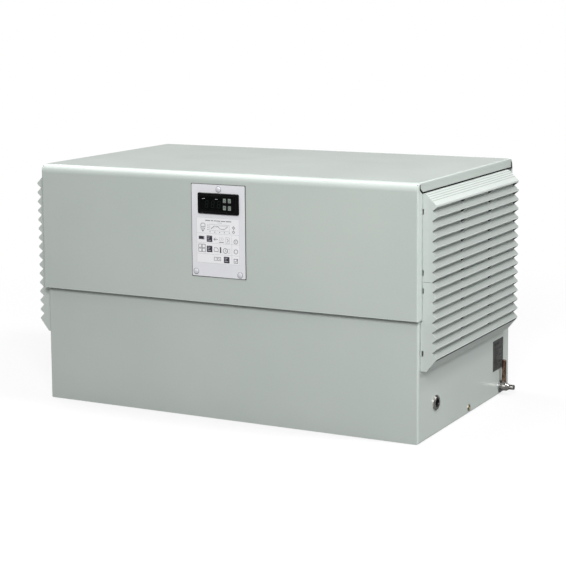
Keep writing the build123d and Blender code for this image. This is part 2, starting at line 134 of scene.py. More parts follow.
camera_data = bpy.data.cameras.new("picture_camera")
camera_data.sensor_width = SENSOR
camera_data.lens = FOCAL_PIXELS / PICTURE_PIXELS * SENSOR
camera_data.shift_y = (AXIS_ROW - PICTURE_PIXELS / 2) / PICTURE_PIXELS
camera = linked("picture_camera", camera_data)
camera.location = CAMERA_PLACE
aim = Matrix.Rotation(CAMERA_TURN, 3, "Z") @ Matrix.Rotation(CAMERA_TILT, 3, "X")
camera.rotation_euler = (aim @ Matrix.Rotation(CAMERA_ROLL, 3, "Z")).to_euler()
bpy.context.scene.camera = camera
bpy.context.scene.view_settings.view_transform = "Standard"
print("lens", round(camera_data.lens, 2), "mm, shift", round(camera_data.shift_y, 4))


# %% [markdown]
# The studio follows from how the paint looks. The roof is evenly bright and the roll along the
# front is white at its upper edge, so one large lamp and a smaller one hang overhead, to the
# left. A weak lamp behind the unit rims the far edges. The louvre's top slope is the brightest
# plastic, and each blade shades the next: two hard keys stand high on the right. A softbox low
# on the right fills the wall under the louvre, and one at the front, from the right, gives the
# front panel its fall from right to left. The powers come from a least-squares fit: each lamp
# was rendered alone, and their sum compared with the brightness of twenty places.

# %% Lamps
ROOF_FRONT = (0, -0.2, 0.41)
RIGHT_LOUVRE = (0.35, 0, 0.25)


def area_lamp(name, place, target, size, power):
    data = bpy.data.lights.new(name, "AREA")
    data.shape = "RECTANGLE"
    data.size, data.size_y = size
    data.energy = power
    lamp = linked(name, data)
    lamp.location = place
    lamp.rotation_euler = (Vector(target) - Vector(place)).to_track_quat("-Z", "Y").to_euler()


area_lamp("roof_softbox", (-1.05, 0.25, 2.3), ROOF_FRONT, (1.3, 2.8), 32)
area_lamp("roof_edge", (-1.2, -0.75, 2.1), ROOF_FRONT, (1.2, 0.8), 9.2)
area_lamp("rear_softbox", (0.3, 2.1, 1.5), (0, 0, 0.4), (1.6, 0.8), 4)
area_lamp("right_key", (1.95, 0.05, 1.95), RIGHT_LOUVRE, (0.4, 0.4), 18.6)
area_lamp("right_high_key", (1.5, 0.0, 2.3), RIGHT_LOUVRE, (0.35, 0.35), 13.5)
area_lamp("right_softbox", (2.4, 0.1, 0.35), RIGHT_LOUVRE, (1.0, 0.6), 7.9)
area_lamp("front_softbox", (1.0, -2.1, 1.5), (0.0, -0.2, 0.25), (0.8, 0.8), 42.5)

# %% [markdown]
# The world is the room around the lamps. It lights the unit faintly and evenly. Paint and metal
# mirror a somewhat brighter room, as they do between pale studio walls. The camera sees plain
# white behind the unit, straight or through glass. A Light Path node tells the three kinds of
# ray apart, so the white background puts no light on the unit.

# %% World
ROOM_LIGHT = 0.165
MIRRORED_LIGHT = 0.28
PAPER_LIGHT = 1.0


def seen_rays(tree):
    """The light path, and a 1 for rays from the camera, straight or through glass."""
    rays = add_node(tree, "ShaderNodeLightPath").outputs
    return rays, reckon(tree, "MAXIMUM", rays["Is Camera Ray"], rays["Is Transmission Ray"])


world = bpy.data.worlds.new("studio_world")
world.use_nodes = True
bpy.context.scene.world = world
sky = world.node_tree
sky.nodes.clear()
rays, seen = seen_rays(sky)
room, mirrored, paper = [
    fill(sky, add_node(sky, "ShaderNodeBackground"), {
        "Color": (1, 1, 1, 1), "Strength": light}).outputs[0]
    for light in (ROOM_LIGHT, MIRRORED_LIGHT, PAPER_LIGHT)]
around = blend(sky, rays["Is Glossy Ray"], room, mirrored)
fill(sky, add_node(sky, "ShaderNodeOutputWorld"), {"Surface": blend(sky, seen, around, paper)})
print("the room gives", ROOM_LIGHT, "of the background's light")

# %% [markdown]
# The floor is one large disc. Close to the unit it is a matt white that takes its shadow, mixed
# with nearly three quarters of plain white light, so that the shadow stays soft. Further out it
# becomes plain white, so that no horizon shows. Only the camera sees it like that. Every other
# ray meets a grey, or the white floor would light the walls from below.

# %% Floor
FLOOR_RADIUS = 40.0
FLOOR_DROP = 0.6 * MM
FADE_FROM, FADE_TO = 0.55, 1.5
PLAIN_SHARE = 0.72
MATT_WHITE = (0.9, 0.9, 0.9, 1)
BOUNCE_GREY = (0.25, 0.25, 0.25, 1)

disc = bmesh.new()
bmesh.ops.create_circle(disc, cap_ends=True, segments=96, radius=FLOOR_RADIUS,
                        matrix=Matrix.Translation((0, 0, -FLOOR_DROP)))
floor_mesh = bpy.data.meshes.new("studio_floor")
disc.to_mesh(floor_mesh)
disc.free()
floor_paper = bpy.data.materials.new("floor_paper")
floor_paper.use_nodes = True
tree = floor_paper.node_tree
tree.nodes.clear()
rays, seen = seen_rays(tree)
place = add_node(tree, "ShaderNodeTexCoord").outputs["Object"]
reach = fill(tree, add_node(tree, "ShaderNodeVectorMath", operation="LENGTH"), {0: place})
fade = fill(tree, add_node(tree, "ShaderNodeMapRange", interpolation_type="SMOOTHSTEP"), {
    "Value": reach.outputs["Value"], "From Min": FADE_FROM, "From Max": FADE_TO})
matt, bounce = [
    fill(tree, add_node(tree, "ShaderNodeBsdfDiffuse"), {"Color": tone}).outputs[0]
    for tone in (MATT_WHITE, BOUNCE_GREY)]
light = fill(tree, add_node(tree, "ShaderNodeEmission"), {"Strength": 1.0}).outputs[0]
near = blend(tree, fade.outputs[0], blend(tree, PLAIN_SHARE, matt, light), light)
fill(tree, add_node(tree, "ShaderNodeOutputMaterial"), {"Surface": blend(tree, seen, bounce, near)})
floor_mesh.materials.append(floor_paper)
linked("studio_floor", floor_mesh)
print("floor radius", FLOOR_RADIUS, "m")


# %% [markdown]
# Every finish starts from the same ground: a colour that drifts a little over a hand's width,
# a roughness that drifts too, and a fine bump. What differs is the scale of each. A few helpers
# make the parts: a noise for the drift, `between` to spread it over a range, and `mixed` for two
# tones of one colour.

# %% Colours that drift
def colour(red, green, blue):
    """A colour given in the 0-255 steps of a screen, as the shader's linear values."""
    steps = [step / 255 for step in (red, green, blue)]
    return [s / 12.92 if s <= 0.04045 else ((s + 0.055) / 1.055) ** 2.4 for s in steps] + [1.0]


def noise(tree, place, scale, detail=3.0, stretch=None):
    """A noise over the piece, with `scale` lumps a metre, stretched along an axis if asked."""
    if stretch:
        place = fill(tree, add_node(tree, "ShaderNodeMapping"), {
            "Vector": place, "Scale": stretch}).outputs[0]
    return fill(tree, add_node(tree, "ShaderNodeTexNoise"), {
        "Vector": place, "Scale": scale, "Detail": detail}).outputs["Fac"]


def between(tree, value, low, high, start=0.3, end=0.7):
    """The value, spread from low to high."""
    return fill(tree, add_node(tree, "ShaderNodeMapRange"), {
        "Value": value, "From Min": start, "From Max": end,
        "To Min": low, "To Max": high}).outputs["Result"]


def mixed(tree, share, first, second):
    """Two colours mixed by a share."""
    node = add_node(tree, "ShaderNodeMix", data_type="RGBA", blend_type="MIX")
    return fill(tree, node, {0: share, 6: first, 7: second}).outputs[2]


print("a screen's middle grey is", round(colour(128, 128, 128)[0], 3), "to a shader")


# %% [markdown]
# A bump is given by its depth in metres, as it would be measured on the real skin. An empty
# finish comes with its shader, whose even values are set on its own sockets, and with Object
# coordinates, in metres too. A pattern on them stays on the piece when the camera moves.

# %% Bumps and an empty finish
def bumped(tree, height, distance, strength, under=None):
    """A bump of that depth in metres, on top of the one under it."""
    inputs = {"Height": height, "Distance": distance, "Strength": strength}
    if under:
        inputs["Normal"] = under
    return fill(tree, add_node(tree, "ShaderNodeBump"), inputs).outputs[0]


def new_finish(name, **fixed):
    """An empty finish: its tree, its shader with the fixed values set, and its coordinates."""
    material = bpy.data.materials.new(name)
    material.use_nodes = True
    tree = material.node_tree
    shader = tree.nodes["Principled BSDF"]
    fill(tree, shader, {key.replace("_", " "): value for key, value in fixed.items()})
    place = add_node(tree, "ShaderNodeTexCoord").outputs["Object"]
    return material, tree, shader, place


print("an empty finish has Object coordinates and no pattern yet")

# %% [markdown]
# The housing is powder-coated steel. Powder melts into a skin with a faint orange peel, lumps
# about 2 mm wide and a few hundredths of a millimetre high, so a lamp's reflection in a bend
# has soft edges. The paint drifts by a percent or two, and a little dust has settled.

# %% Powder coat
PEEL_SCALE, PEEL_DEPTH = 520.0, 0.06 * MM
WAVE_SCALE, WAVE_DEPTH = 30.0, 0.25 * MM
SPECK_SCALE = 420.0
SPECK_GREY = (0.30, 0.32, 0.30, 1)


def powder_coat(name, base, dusty):
    material, tree, shader, place = new_finish(
        name, Specular_IOR_Level=0.5, Coat_Weight=0.6, Coat_Roughness=0.2)
    drift = between(tree, noise(tree, place, 5.0, detail=4.0), 0, 1)
    speck = between(tree, noise(tree, place, SPECK_SCALE, detail=2.0), 0, 0.10, start=0.55, end=0.8)
    peel = noise(tree, place, PEEL_SCALE, detail=2.0)
    wave = noise(tree, place, WAVE_SCALE, detail=2.0)
    skin = bumped(tree, wave, WAVE_DEPTH, strength=0.25)
    fill(tree, shader, {
        "Base Color": mixed(tree, speck, mixed(tree, drift, base, dusty), SPECK_GREY),
        "Roughness": between(tree, noise(tree, place, 14.0), 0.36, 0.46),
        "Normal": bumped(tree, peel, PEEL_DEPTH, strength=0.5, under=skin)})
    return material


grey_green_paint = powder_coat("grey_green_paint", colour(202, 210, 204), colour(197, 206, 201))
print("orange peel of", PEEL_DEPTH / MM, "mm on", grey_green_paint.name)

# %% [markdown]
# The louvres are moulded in a plastic of nearly the same colour. Moulded plastic has a spark
# textured grain instead of orange peel: finer, sharper and more even, with a duller shine. The
# ribs, the lines on the top slope, the dark slots, the ducts and the keys share the recipe, each
# in its own colour and grain. The paler rib tone is a painted highlight, and the darker line tone
# and the near-black slot tone are painted shade.

# %% Moulded plastics
GRAIN_DEPTH = 0.04 * MM


def moulded_plastic(name, base, drifted, grain, rough):
    material, tree, shader, place = new_finish(name, Specular_IOR_Level=0.45)
    tone = mixed(tree, between(tree, noise(tree, place, 8.0, detail=4.0), 0, 1), base, drifted)
    texture = noise(tree, place, grain)
    fill(tree, shader, {
        "Base Color": tone,
        "Roughness": between(tree, noise(tree, place, 25.0), rough - 0.04, rough + 0.05),
        "Normal": bumped(tree, texture, GRAIN_DEPTH, strength=0.5)})
    return material


grey_green_plastic = moulded_plastic(
    "grey_green_plastic", colour(206, 213, 208), colour(201, 209, 205), 900.0, 0.44)
# A paler tone of the same plastic, as a painted highlight on the rib edges.
rib_highlight_plastic = moulded_plastic(
    "rib_highlight_plastic", colour(214, 221, 217), colour(209, 216, 212), 900.0, 0.40)
# A darker tone of the same plastic, as painted shade in the lines on the top slope.
line_shade_plastic = moulded_plastic(
    "line_shade_plastic", colour(176, 183, 178), colour(170, 177, 172), 900.0, 0.50)
# A near-black painted shade for the rib flanks deep in the slots and the gap under the last blade.
painted_slot_shade = moulded_plastic("painted_slot_shade", colour(26, 28, 27), colour(18, 20, 19), 600.0, 0.8)
duct_plastic = moulded_plastic(
    "duct_plastic", colour(40, 41, 43), colour(48, 49, 50), 700.0, 0.5)
key_grey = moulded_plastic("key_grey", colour(150, 160, 152), colour(132, 142, 136), 1400.0, 0.45)
print("grain of", GRAIN_DEPTH / MM, "mm on", grey_green_plastic.name)

# %% [markdown]
# A louvre in service gathers dust on the ledges of its blades. The dusty tone is also a painted
# shade that dims the lit outer ledges, and the backs of the slots take a darker painted shade.
# Modelling dust would take a mesh of its own, so both are a matter of colour. A face takes the
# dusty tone where it looks up and lies near the tips, and the painted shade where it looks up
# deep in the slot. The distance from the unit's middle gives that depth on both sides. Above the
# first tip begins the clean top slope.

# %% Dust and painted shade on the louvres
SLOPE_FALL = 18.0 * MM
first_tip = louvre_high.z - SLOPE_FALL
DUST_SHADE_FROM, DUST_SHADE_FULL = tip_x - 8.5 * MM, tip_x - 5.5 * MM
SHADE_FULL, SHADE_TO = tip_x - 11.8 * MM, tip_x - 9.8 * MM
LEDGE_FULL, LEDGE_TOP = first_tip - 0.6 * MM, first_tip + 1.4 * MM


def dust_and_painted_shade(material, dust_and_shade, shade):
    """Adds dust and painted shade on the open ledges, and painted shade at the slots' backs."""
    tree = material.node_tree
    shader = tree.nodes["Principled BSDF"]
    clean = shader.inputs["Base Color"].links[0].from_socket
    coords = add_node(tree, "ShaderNodeTexCoord")
    facing = fill(tree, add_node(tree, "ShaderNodeSeparateXYZ"), {0: coords.outputs["Normal"]})
    place = fill(tree, add_node(tree, "ShaderNodeSeparateXYZ"), {0: coords.outputs["Object"]})
    up = between(tree, facing.outputs["Z"], 0.0, 1.0, start=0.3, end=0.6)
    below = between(tree, place.outputs["Z"], 1.0, 0.0, start=LEDGE_FULL, end=LEDGE_TOP)
    depth = reckon(tree, "ABSOLUTE", place.outputs["X"])
    ledge = reckon(tree, "MULTIPLY", up, below)
    opened = between(tree, depth, 0.0, 1.0, start=DUST_SHADE_FROM, end=DUST_SHADE_FULL)
    inmost = between(tree, depth, 1.0, 0.0, start=SHADE_FULL, end=SHADE_TO)
    for weight, tone in ((opened, dust_and_shade), (inmost, shade)):
        clean = mixed(tree, reckon(tree, "MULTIPLY", ledge, weight, clamp=True), clean, tone)
    tree.links.new(clean, shader.inputs["Base Color"])


# Dust that also paints shade on the lit ledges, then painted shade at the backs of the slots.
dust_and_painted_shade(grey_green_plastic, colour(168, 175, 171), colour(120, 126, 122))
print("dust begins", round((tip_x - DUST_SHADE_FROM) / MM, 1), "mm behind the tips")

# %% [markdown]
# Zinc freezes in flat crystals, so galvanised sheet shows a patchwork of greys that catch the
# light one by one. A Voronoi texture gives cells of the right size, and each cell's own random
# colour sets its grey and its roughness.

# %% Galvanised sheet
CRYSTAL_SCALE = 85.0
CRYSTAL_WARP = (0.02, 0.02, 0.02)


def galvanised(name):
    material, tree, shader, place = new_finish(name, Metallic=1.0)
    warp = noise(tree, place, 40.0)
    nudge = fill(tree, add_node(tree, "ShaderNodeVectorMath", operation="MULTIPLY_ADD"), {
        0: warp, 1: CRYSTAL_WARP, 2: place}).outputs[0]
    cells = fill(tree, add_node(tree, "ShaderNodeTexVoronoi"), {
        "Vector": nudge, "Scale": CRYSTAL_SCALE})
    shade = fill(tree, add_node(tree, "ShaderNodeSeparateColor"), {0: cells.outputs["Color"]})
    fill(tree, shader, {
        "Base Color": mixed(tree, shade.outputs[0], colour(166, 169, 171), colour(196, 199, 200)),
        "Roughness": between(tree, shade.outputs[1], 0.32, 0.52, start=0, end=1),
        "Normal": bumped(tree, noise(tree, place, 300.0), 0.05 * MM, strength=0.4)})
    return material


galvanised_sheet = galvanised("galvanised_sheet")
print("zinc crystals about", round(1 / CRYSTAL_SCALE / MM), "mm wide")

# %% [markdown]
# The sealing strip under the base and the cable seal are rubbers: the strip an open foam with
# pores well under a millimetre wide, the seal a dense and slightly shiny one. The pores are the
# cells of a Voronoi texture, because they are round hollows that touch, unlike the lumps of a
# noise.

# %% Rubbers
def rubber(name, tone, pore_scale, depth, rough):
    material, tree, shader, place = new_finish(name, Specular_IOR_Level=0.2)
    pores = fill(tree, add_node(tree, "ShaderNodeTexVoronoi"), {"Vector": place, "Scale": pore_scale})
    drift = between(tree, noise(tree, place, 30.0), 0, 1)
    fill(tree, shader, {
        "Base Color": mixed(tree, drift, tone, [min(1.0, 1.6 * v) for v in tone]),
        "Roughness": between(tree, noise(tree, place, 90.0), rough - 0.06, rough + 0.06),
        "Normal": bumped(tree, pores.outputs["Distance"], depth, strength=0.7)})
    return material


seal_foam = rubber("seal_foam", colour(17, 18, 18), 1500.0, 0.4 * MM, 0.9)
rubber_seal = rubber("rubber_seal", colour(11, 11, 12), 2600.0, 0.05 * MM, 0.5)
print("rubbers:", seal_foam.name, rubber_seal.name)

# %% [markdown]
# The dust screens stand right behind the louvre openings. Each is a woven black mesh: two sets
# of sine waves, one along the depth and one up, make threads little more than a millimetre
# apart. Real threads would be thousands of thin tubes that nobody sees one by one.

# %% Screen mesh
THREAD_PITCH = 1.2 * MM


def woven_screen(name):
    material, tree, shader, place = new_finish(name, Roughness=0.6)
    parts = fill(tree, add_node(tree, "ShaderNodeSeparateXYZ"), {0: place})
    waves = [reckon(tree, "SINE", reckon(
        tree, "MULTIPLY", parts.outputs[axis], 2 * math.pi / THREAD_PITCH)) for axis in ("Y", "Z")]
    weave = reckon(tree, "MAXIMUM", *waves)
    fill(tree, shader, {
        "Base Color": mixed(tree, between(tree, weave, 0, 1, start=0.0, end=0.9),
                            colour(8, 8, 9), colour(46, 47, 48)),
        "Normal": bumped(tree, weave, 0.2 * MM, strength=0.8)})
    return material


screen_mesh = woven_screen("screen_mesh")
print("threads", round(THREAD_PITCH / MM, 2), "mm apart")

# %% [markdown]
# The control plate is a thin sheet with a satin white coat. The controller is a glossy black
# moulding that picks up fine hairline scratches, and its window is a smoked glass.

# %% Plate, controller and window
def satin_white(name):
    material, tree, shader, place = new_finish(name, Specular_IOR_Level=0.5)
    drift = between(tree, noise(tree, place, 20.0, detail=4.0), 0, 1)
    fill(tree, shader, {
        "Base Color": mixed(tree, drift, colour(241, 241, 245), colour(236, 237, 241)),
        "Roughness": between(tree, noise(tree, place, 60.0), 0.34, 0.44),
        "Normal": bumped(tree, noise(tree, place, 900.0, detail=2.0), 0.03 * MM, strength=0.4)})
    return material


def scratched_gloss(name, tone, clear):
    material, tree, shader, place = new_finish(name, Specular_IOR_Level=0.22)
    scratches = noise(tree, place, 90.0, detail=4.0, stretch=(1.0, 1.0, 24.0))
    worn = between(tree, scratches, 0.0, 1.0, start=0.52, end=0.75)
    smear = noise(tree, place, 45.0)
    fill(tree, shader, {
        "Base Color": mixed(tree, worn, tone, [min(1.0, v + 0.006) for v in tone]),
        "Roughness": between(tree, smear, clear, clear + 0.12),
        "Normal": bumped(tree, scratches, 0.01 * MM, strength=0.3)})
    return material


white_plate = satin_white("white_plate")
controller_black = scratched_gloss("controller_black", colour(5, 5, 6), 0.22)
display_glass = scratched_gloss("display_glass", colour(3, 4, 4), 0.10)
print("front:", white_plate.name, controller_black.name, display_glass.name)

# %% [markdown]
# Bright metals: a nickel plate that is smooth but not perfect, a turned steel flange with rings
# that follow the cutting tool, a brass tube gone dull and brown in patches, and the yellowish
# zinc of the screws. One recipe makes all four: two tones in patches, and a bump in fine rings.

# %% Bright metals
def metal(name, tone, stain, rough, rough_spread, ring_depth):
    material, tree, shader, place = new_finish(name, Metallic=1.0)
    patches = noise(tree, place, 160.0, detail=4.0)
    rings = noise(tree, place, 1800.0, detail=1.0, stretch=(1.0, 0.15, 0.15))
    fill(tree, shader, {
        "Base Color": mixed(tree, between(tree, patches, 0, 1, start=0.42, end=0.68), tone, stain),
        "Roughness": between(tree, noise(tree, place, 500.0), rough, rough + rough_spread),
        "Normal": bumped(tree, rings, ring_depth, strength=0.6)})
    return material


nickel_plate = metal(
    "nickel_plate", colour(190, 187, 184), colour(84, 80, 77), 0.18, 0.14, 0.01 * MM)
steel_flange = metal(
    "steel_flange", colour(176, 178, 180), colour(132, 132, 132), 0.22, 0.16, 0.03 * MM)
brass_stub = metal(
    "brass_stub", colour(158, 132, 112), colour(74, 54, 42), 0.24, 0.20, 0.02 * MM)
zinc_yellow = metal(
    "zinc_yellow", colour(190, 182, 160), colour(122, 110, 88), 0.25, 0.15, 0.02 * MM)
print("metals:", nickel_plate.name, steel_flange.name, brass_stub.name, zinc_yellow.name)

# %% [markdown]
# The rating plate is a dark grey foil with a fine mottled grain, cloudier than the mouldings
# round it and a little shinier.

# %% Dark foil
def dark_foil(name):
    material, tree, shader, place = new_finish(name, Specular_IOR_Level=0.4)
    grain = noise(tree, place, 700.0)
    cloud = between(tree, noise(tree, place, 90.0, detail=4.0), 0, 1, start=0.35, end=0.65)
    fill(tree, shader, {
        "Base Color": mixed(tree, cloud, colour(54, 56, 54), colour(78, 80, 77)),
        "Roughness": between(tree, grain, 0.40, 0.55),
        "Normal": bumped(tree, grain, 0.02 * MM, strength=0.5)})
    return material


label_dark = dark_foil("label_dark")
print("foil:", label_dark.name)

# %% [markdown]
# Ink is matt and a little uneven: where the screen pressed harder it lies thicker and darker.
# The unlit digits, the lines of the bezel and the paint of the caps are thin skins as well, so
# they come from the same recipe.

# %% Inks
def ink(name, thick, thin, rough=0.5):
    material, tree, shader, place = new_finish(name, Specular_IOR_Level=0.35)
    laid = noise(tree, place, 1100.0)
    fill(tree, shader, {
        "Base Color": mixed(tree, between(tree, laid, 0, 1), thick, thin),
        "Roughness": between(tree, noise(tree, place, 300.0), rough - 0.05, rough + 0.1),
        "Normal": bumped(tree, laid, 0.01 * MM, strength=0.3)})
    return material


print_black = ink("print_black", colour(36, 34, 44), colour(70, 68, 80))
print_grey = ink("print_grey", colour(96, 97, 104), colour(126, 127, 134))
print_pale = ink("print_pale", colour(182, 183, 189), colour(202, 203, 208))
legend_white = ink("legend_white", colour(252, 252, 254), colour(249, 249, 252), 0.42)
unlit_green = ink("unlit_green", colour(9, 23, 18), colour(7, 18, 14), 0.3)
bezel_line = ink("bezel_line", colour(52, 54, 55), colour(38, 40, 41), 0.35)
sign_dark = ink("sign_dark", colour(58, 66, 60), colour(70, 78, 72))
foil_pale = ink("foil_pale", colour(100, 103, 100), colour(84, 87, 84), 0.4)
foil_black = ink("foil_black", colour(20, 21, 20), colour(32, 34, 32), 0.4)
cap_white = ink("cap_white", colour(224, 224, 230), colour(217, 218, 224), 0.28)
print("inks from", print_black.name, "to", cap_white.name)

# %% [markdown]
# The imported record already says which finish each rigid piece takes, so one loop dresses them.

# %% Dress the rigid pieces
finishes = {
    "grey_green_paint": grey_green_paint, "grey_green_plastic": grey_green_plastic,
    "galvanised_sheet": galvanised_sheet, "seal_foam": seal_foam, "duct_plastic": duct_plastic,
    "screen_mesh": screen_mesh, "white_plate": white_plate, "controller_black": controller_black,
    "display_glass": display_glass, "key_grey": key_grey, "nickel_plate": nickel_plate,
    "rubber_seal": rubber_seal, "label_dark": label_dark, "steel_flange": steel_flange,
    "brass_stub": brass_stub,
}
for part in frame["record"]["subparts"]:
    piece = nodes[part["node"]]
    piece.data.materials.clear()
    piece.data.materials.append(finishes[part["material_slot"]])
print("dressed", len(nodes), "pieces in", len(finishes), "finishes")

# %% [markdown]
# The louvre's top slope runs from a shelf at the wall down to the first blade tip. In the picture
# it carries a few fine lines, further apart than the fine ridges of the solids. The ridges are
# therefore pressed flat and the lines laid on afterwards. To press a point onto the slope, its
# height over the slope's plane has to be known, and how far down the slope it lies.

# %% Where the top slope lies
SHELF = 7.5 * MM
slope_top = Vector((wall_x + SHELF, louvre_high.z))
slope_foot = Vector((tip_x, first_tip))
slope_run = (slope_foot - slope_top).normalized()
slope_length = (slope_foot - slope_top).length


def over_slope(point):
    """How far a point stands over the slope's plane, and how far down the slope it lies."""
    offset = Vector((abs(point.x), point.z)) - slope_top
    return offset.dot(Vector((-slope_run.y, slope_run.x))), offset.dot(slope_run)


print("the slope is", round(slope_length / MM, 1), "mm long")

# %% [markdown]
# A rigid piece arrives as loose triangles with knife-sharp edges. No moulding is that sharp, and
# it is the soft edge that catches the light. A copy is therefore merged and its flat faces are
# made whole again, so that a Bevel can find the real edges and round them by a quarter of a
# millimetre. The faces themselves stay flat: shading them smoothly would make the blades look
# like pillows.

# %% A merged copy with soft edges
MERGE_GAP = 0.002 * MM
SOFT_EDGE = 0.25 * MM
RIDGE_LEAST, RIDGE_MOST = 0.05 * MM, 0.9 * MM


def press_ridges(shape):
    """Moves the points of the fine ridges square down onto the top slope."""
    for vertex in shape.verts:
        height, along = over_slope(vertex.co)
        if RIDGE_LEAST < height < RIDGE_MOST and 0 < along < slope_length:
            side = 1 if vertex.co.x > 0 else -1
            vertex.co.x += side * height * slope_run.y
            vertex.co.z -= height * slope_run.x


def merged_copy(name, node):
    """A copy of a rigid piece with its triangles joined into whole faces."""
    mesh = nodes[node].data.copy()
    shape = bmesh.new()
    shape.from_mesh(mesh)
    bmesh.ops.remove_doubles(shape, verts=shape.verts, dist=MERGE_GAP)
    press_ridges(shape)
    bmesh.ops.remove_doubles(shape, verts=shape.verts, dist=MERGE_GAP)
    bmesh.ops.dissolve_degenerate(shape, edges=shape.edges, dist=MERGE_GAP)
    bmesh.ops.dissolve_limit(
        shape, angle_limit=math.radians(1), verts=shape.verts, edges=shape.edges)
    for face in shape.faces:
        face.smooth = False
    shape.to_mesh(mesh)
    shape.free()
    if "custom_normal" in mesh.attributes:
        mesh.attributes.remove(mesh.attributes["custom_normal"])
    mesh.materials.clear()
    return linked(name, mesh)


def soften(piece, width):
    bevel = piece.modifiers.new("soft_edges", "BEVEL")
    bevel.width = width
    bevel.segments = 2
    bevel.limit_method = "ANGLE"
    bevel.angle_limit = math.radians(25)
    bevel.harden_normals = False


print("edges are rounded by", SOFT_EDGE / MM, "mm")

# %% [markdown]
# Each side has an upper and a lower moulding. Inside their slots the flanks of the ribs lie in
# deep shade, and that shade is painted: these faces take a second, near-black finish. They
# are easy to find: they face along the depth, and they don't lie on the moulding's two ends.

# %% The four mouldings
FLANK_CLEAR = 0.5 * MM


def darken_flanks(piece):
    """Gives the flanks inside the slots the second finish, a painted shade."""
    for face in piece.data.polygons:
        inner = min(abs(face.center.y - end) for end in (louvre_low.y, louvre_high.y)) > FLANK_CLEAR
        if abs(face.normal.y) > 0.99 and inner:
            face.material_index = 1


for side in ("right", "left"):
    for level in ("upper", "lower"):
        node = f"{side}_{level}_louvre"
        louvre = merged_copy(f"{node}_moulding", node)
        louvre.data.materials.append(grey_green_plastic)
        # The second finish is a painted shade on the rib flanks.
        louvre.data.materials.append(painted_slot_shade)
        darken_flanks(louvre)
        soften(louvre, SOFT_EDGE)
        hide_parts(node)
        on_unit(louvre)
        print(louvre.name, len(louvre.data.polygons), "faces")

# %% [markdown]
# Lines, ribs and screws repeat one small shape. Geometry Nodes do that from a few inputs, such as
# where the row starts, the step and the count, so nothing is drawn twice. `new_tree` makes an
# empty tree with named inputs. `finish_tree` ends it: the copies become real geometry and take
# their finish. `grown` runs a tree on a mesh and keeps the result as a plain piece.

# %% Helpers for trees
def new_tree(name, inputs):
    tree = bpy.data.node_groups.new(name, "GeometryNodeTree")
    tree.interface.new_socket(name="Geometry", in_out="INPUT", socket_type="NodeSocketGeometry")
    for label, kind in inputs.items():
        tree.interface.new_socket(name=label, in_out="INPUT", socket_type=f"NodeSocket{kind}")
    tree.interface.new_socket(name="Geometry", in_out="OUTPUT", socket_type="NodeSocketGeometry")
    return tree, add_node(tree, "NodeGroupInput").outputs, add_node(tree, "NodeGroupOutput")


def finish_tree(tree, last, material, end):
    real = fill(tree, add_node(tree, "GeometryNodeRealizeInstances"), {"Geometry": last})
    dressed = fill(tree, add_node(tree, "GeometryNodeSetMaterial"), {
        "Geometry": real.outputs[0], "Material": material})
    tree.links.new(dressed.outputs[0], end.inputs[0])


def grown(name, seed_mesh, tree, values):
    seed_piece = linked(f"{name}_seed", seed_mesh)
    modifier = seed_piece.modifiers.new("grow", "NODES")
    modifier.node_group = tree
    sockets = {item.name: item.identifier for item in tree.interface.items_tree
               if item.item_type == "SOCKET" and item.in_out == "INPUT"}
    for label, value in values.items():
        modifier[sockets[label]] = value
    bpy.context.view_layer.update()
    graph = bpy.context.evaluated_depsgraph_get()
    mesh = bpy.data.meshes.new_from_object(seed_piece.evaluated_get(graph))
    bpy.data.objects.remove(seed_piece)
    mesh.name = name
    on_unit(linked(name, mesh))
    print(name, len(mesh.polygons), "faces")


def along_a_line(tree, given, piece):
    """Sets a piece on each point of a line that starts at Start and takes Count steps."""
    line = fill(tree, add_node(tree, "GeometryNodeMeshLine", mode="OFFSET"), {
        "Count": given["Count"], "Start Location": given["Start"], "Offset": given["Step"]})
    return fill(tree, add_node(tree, "GeometryNodeInstanceOnPoints"), {
        "Points": line.outputs[0], "Instance": piece}).outputs[0]


row_inputs = {"Start": "Vector", "Step": "Vector", "Count": "Int", "Finish": "Material"}
row_tree, given, end = new_tree("row_of_pieces", row_inputs)
finish_tree(row_tree, along_a_line(row_tree, given, given["Geometry"]), given["Finish"], end)
print("a row needs", ", ".join(row_inputs))

# %% [markdown]
# Four fine lines run along the top slope, a little over four millimetres apart. Each is one thin
# bar with chamfered edges that leans with the slope. Its darker plastic is a painted shade, for
# the shade in the grooves of the lines. The row runs down the slope, so the number and the
# distance are two inputs of the tree.

# %% Lines on the top slope
LINE_COUNT = 4
LINE_PITCH = 4.15 * MM
LINE_FIRST = 3.0 * MM
LINE_WIDTH = 1.5 * MM
LINE_HEIGHT = 0.5 * MM
LINE_CHAMFER = 0.15 * MM
LINE_LEAN = math.radians(44)
LINE_END = 0.2 * MM


def bar(name, low, high, chamfer=0.0):
    """A long thin bar between two corners, with chamfered edges if asked."""
    shape = bmesh.new()
    bmesh.ops.create_cube(shape, size=1.0)
    bmesh.ops.scale(shape, vec=Vector(high) - Vector(low), verts=shape.verts)
    bmesh.ops.translate(shape, vec=(Vector(low) + Vector(high)) / 2, verts=shape.verts)
    if chamfer:
        bmesh.ops.bevel(shape, geom=shape.edges, offset=chamfer, segments=2, affect="EDGES",
                        profile=0.5)
    mesh = bpy.data.meshes.new(name)
    shape.to_mesh(mesh)
    shape.free()
    return mesh


first_line = slope_top + slope_run * LINE_FIRST
line_step = slope_run * LINE_PITCH
# The lines take the darker plastic, a painted shade.
for side, sign in (("right", 1), ("left", -1)):
    slope_line = bar("slope_line", (-LINE_WIDTH / 2, louvre_low.y + LINE_END, -LINE_HEIGHT),
                     (LINE_WIDTH / 2, louvre_high.y - LINE_END, LINE_HEIGHT / 3), LINE_CHAMFER)
    slope_line.transform(Matrix.Rotation(sign * LINE_LEAN, 4, "Y"))
    grown(f"{side}_slope_lines", slope_line, row_tree, {
        "Start": (sign * first_line.x, 0.0, first_line.y),
        "Step": (sign * line_step.x, 0.0, line_step.y),
        "Count": LINE_COUNT, "Finish": line_shade_plastic})
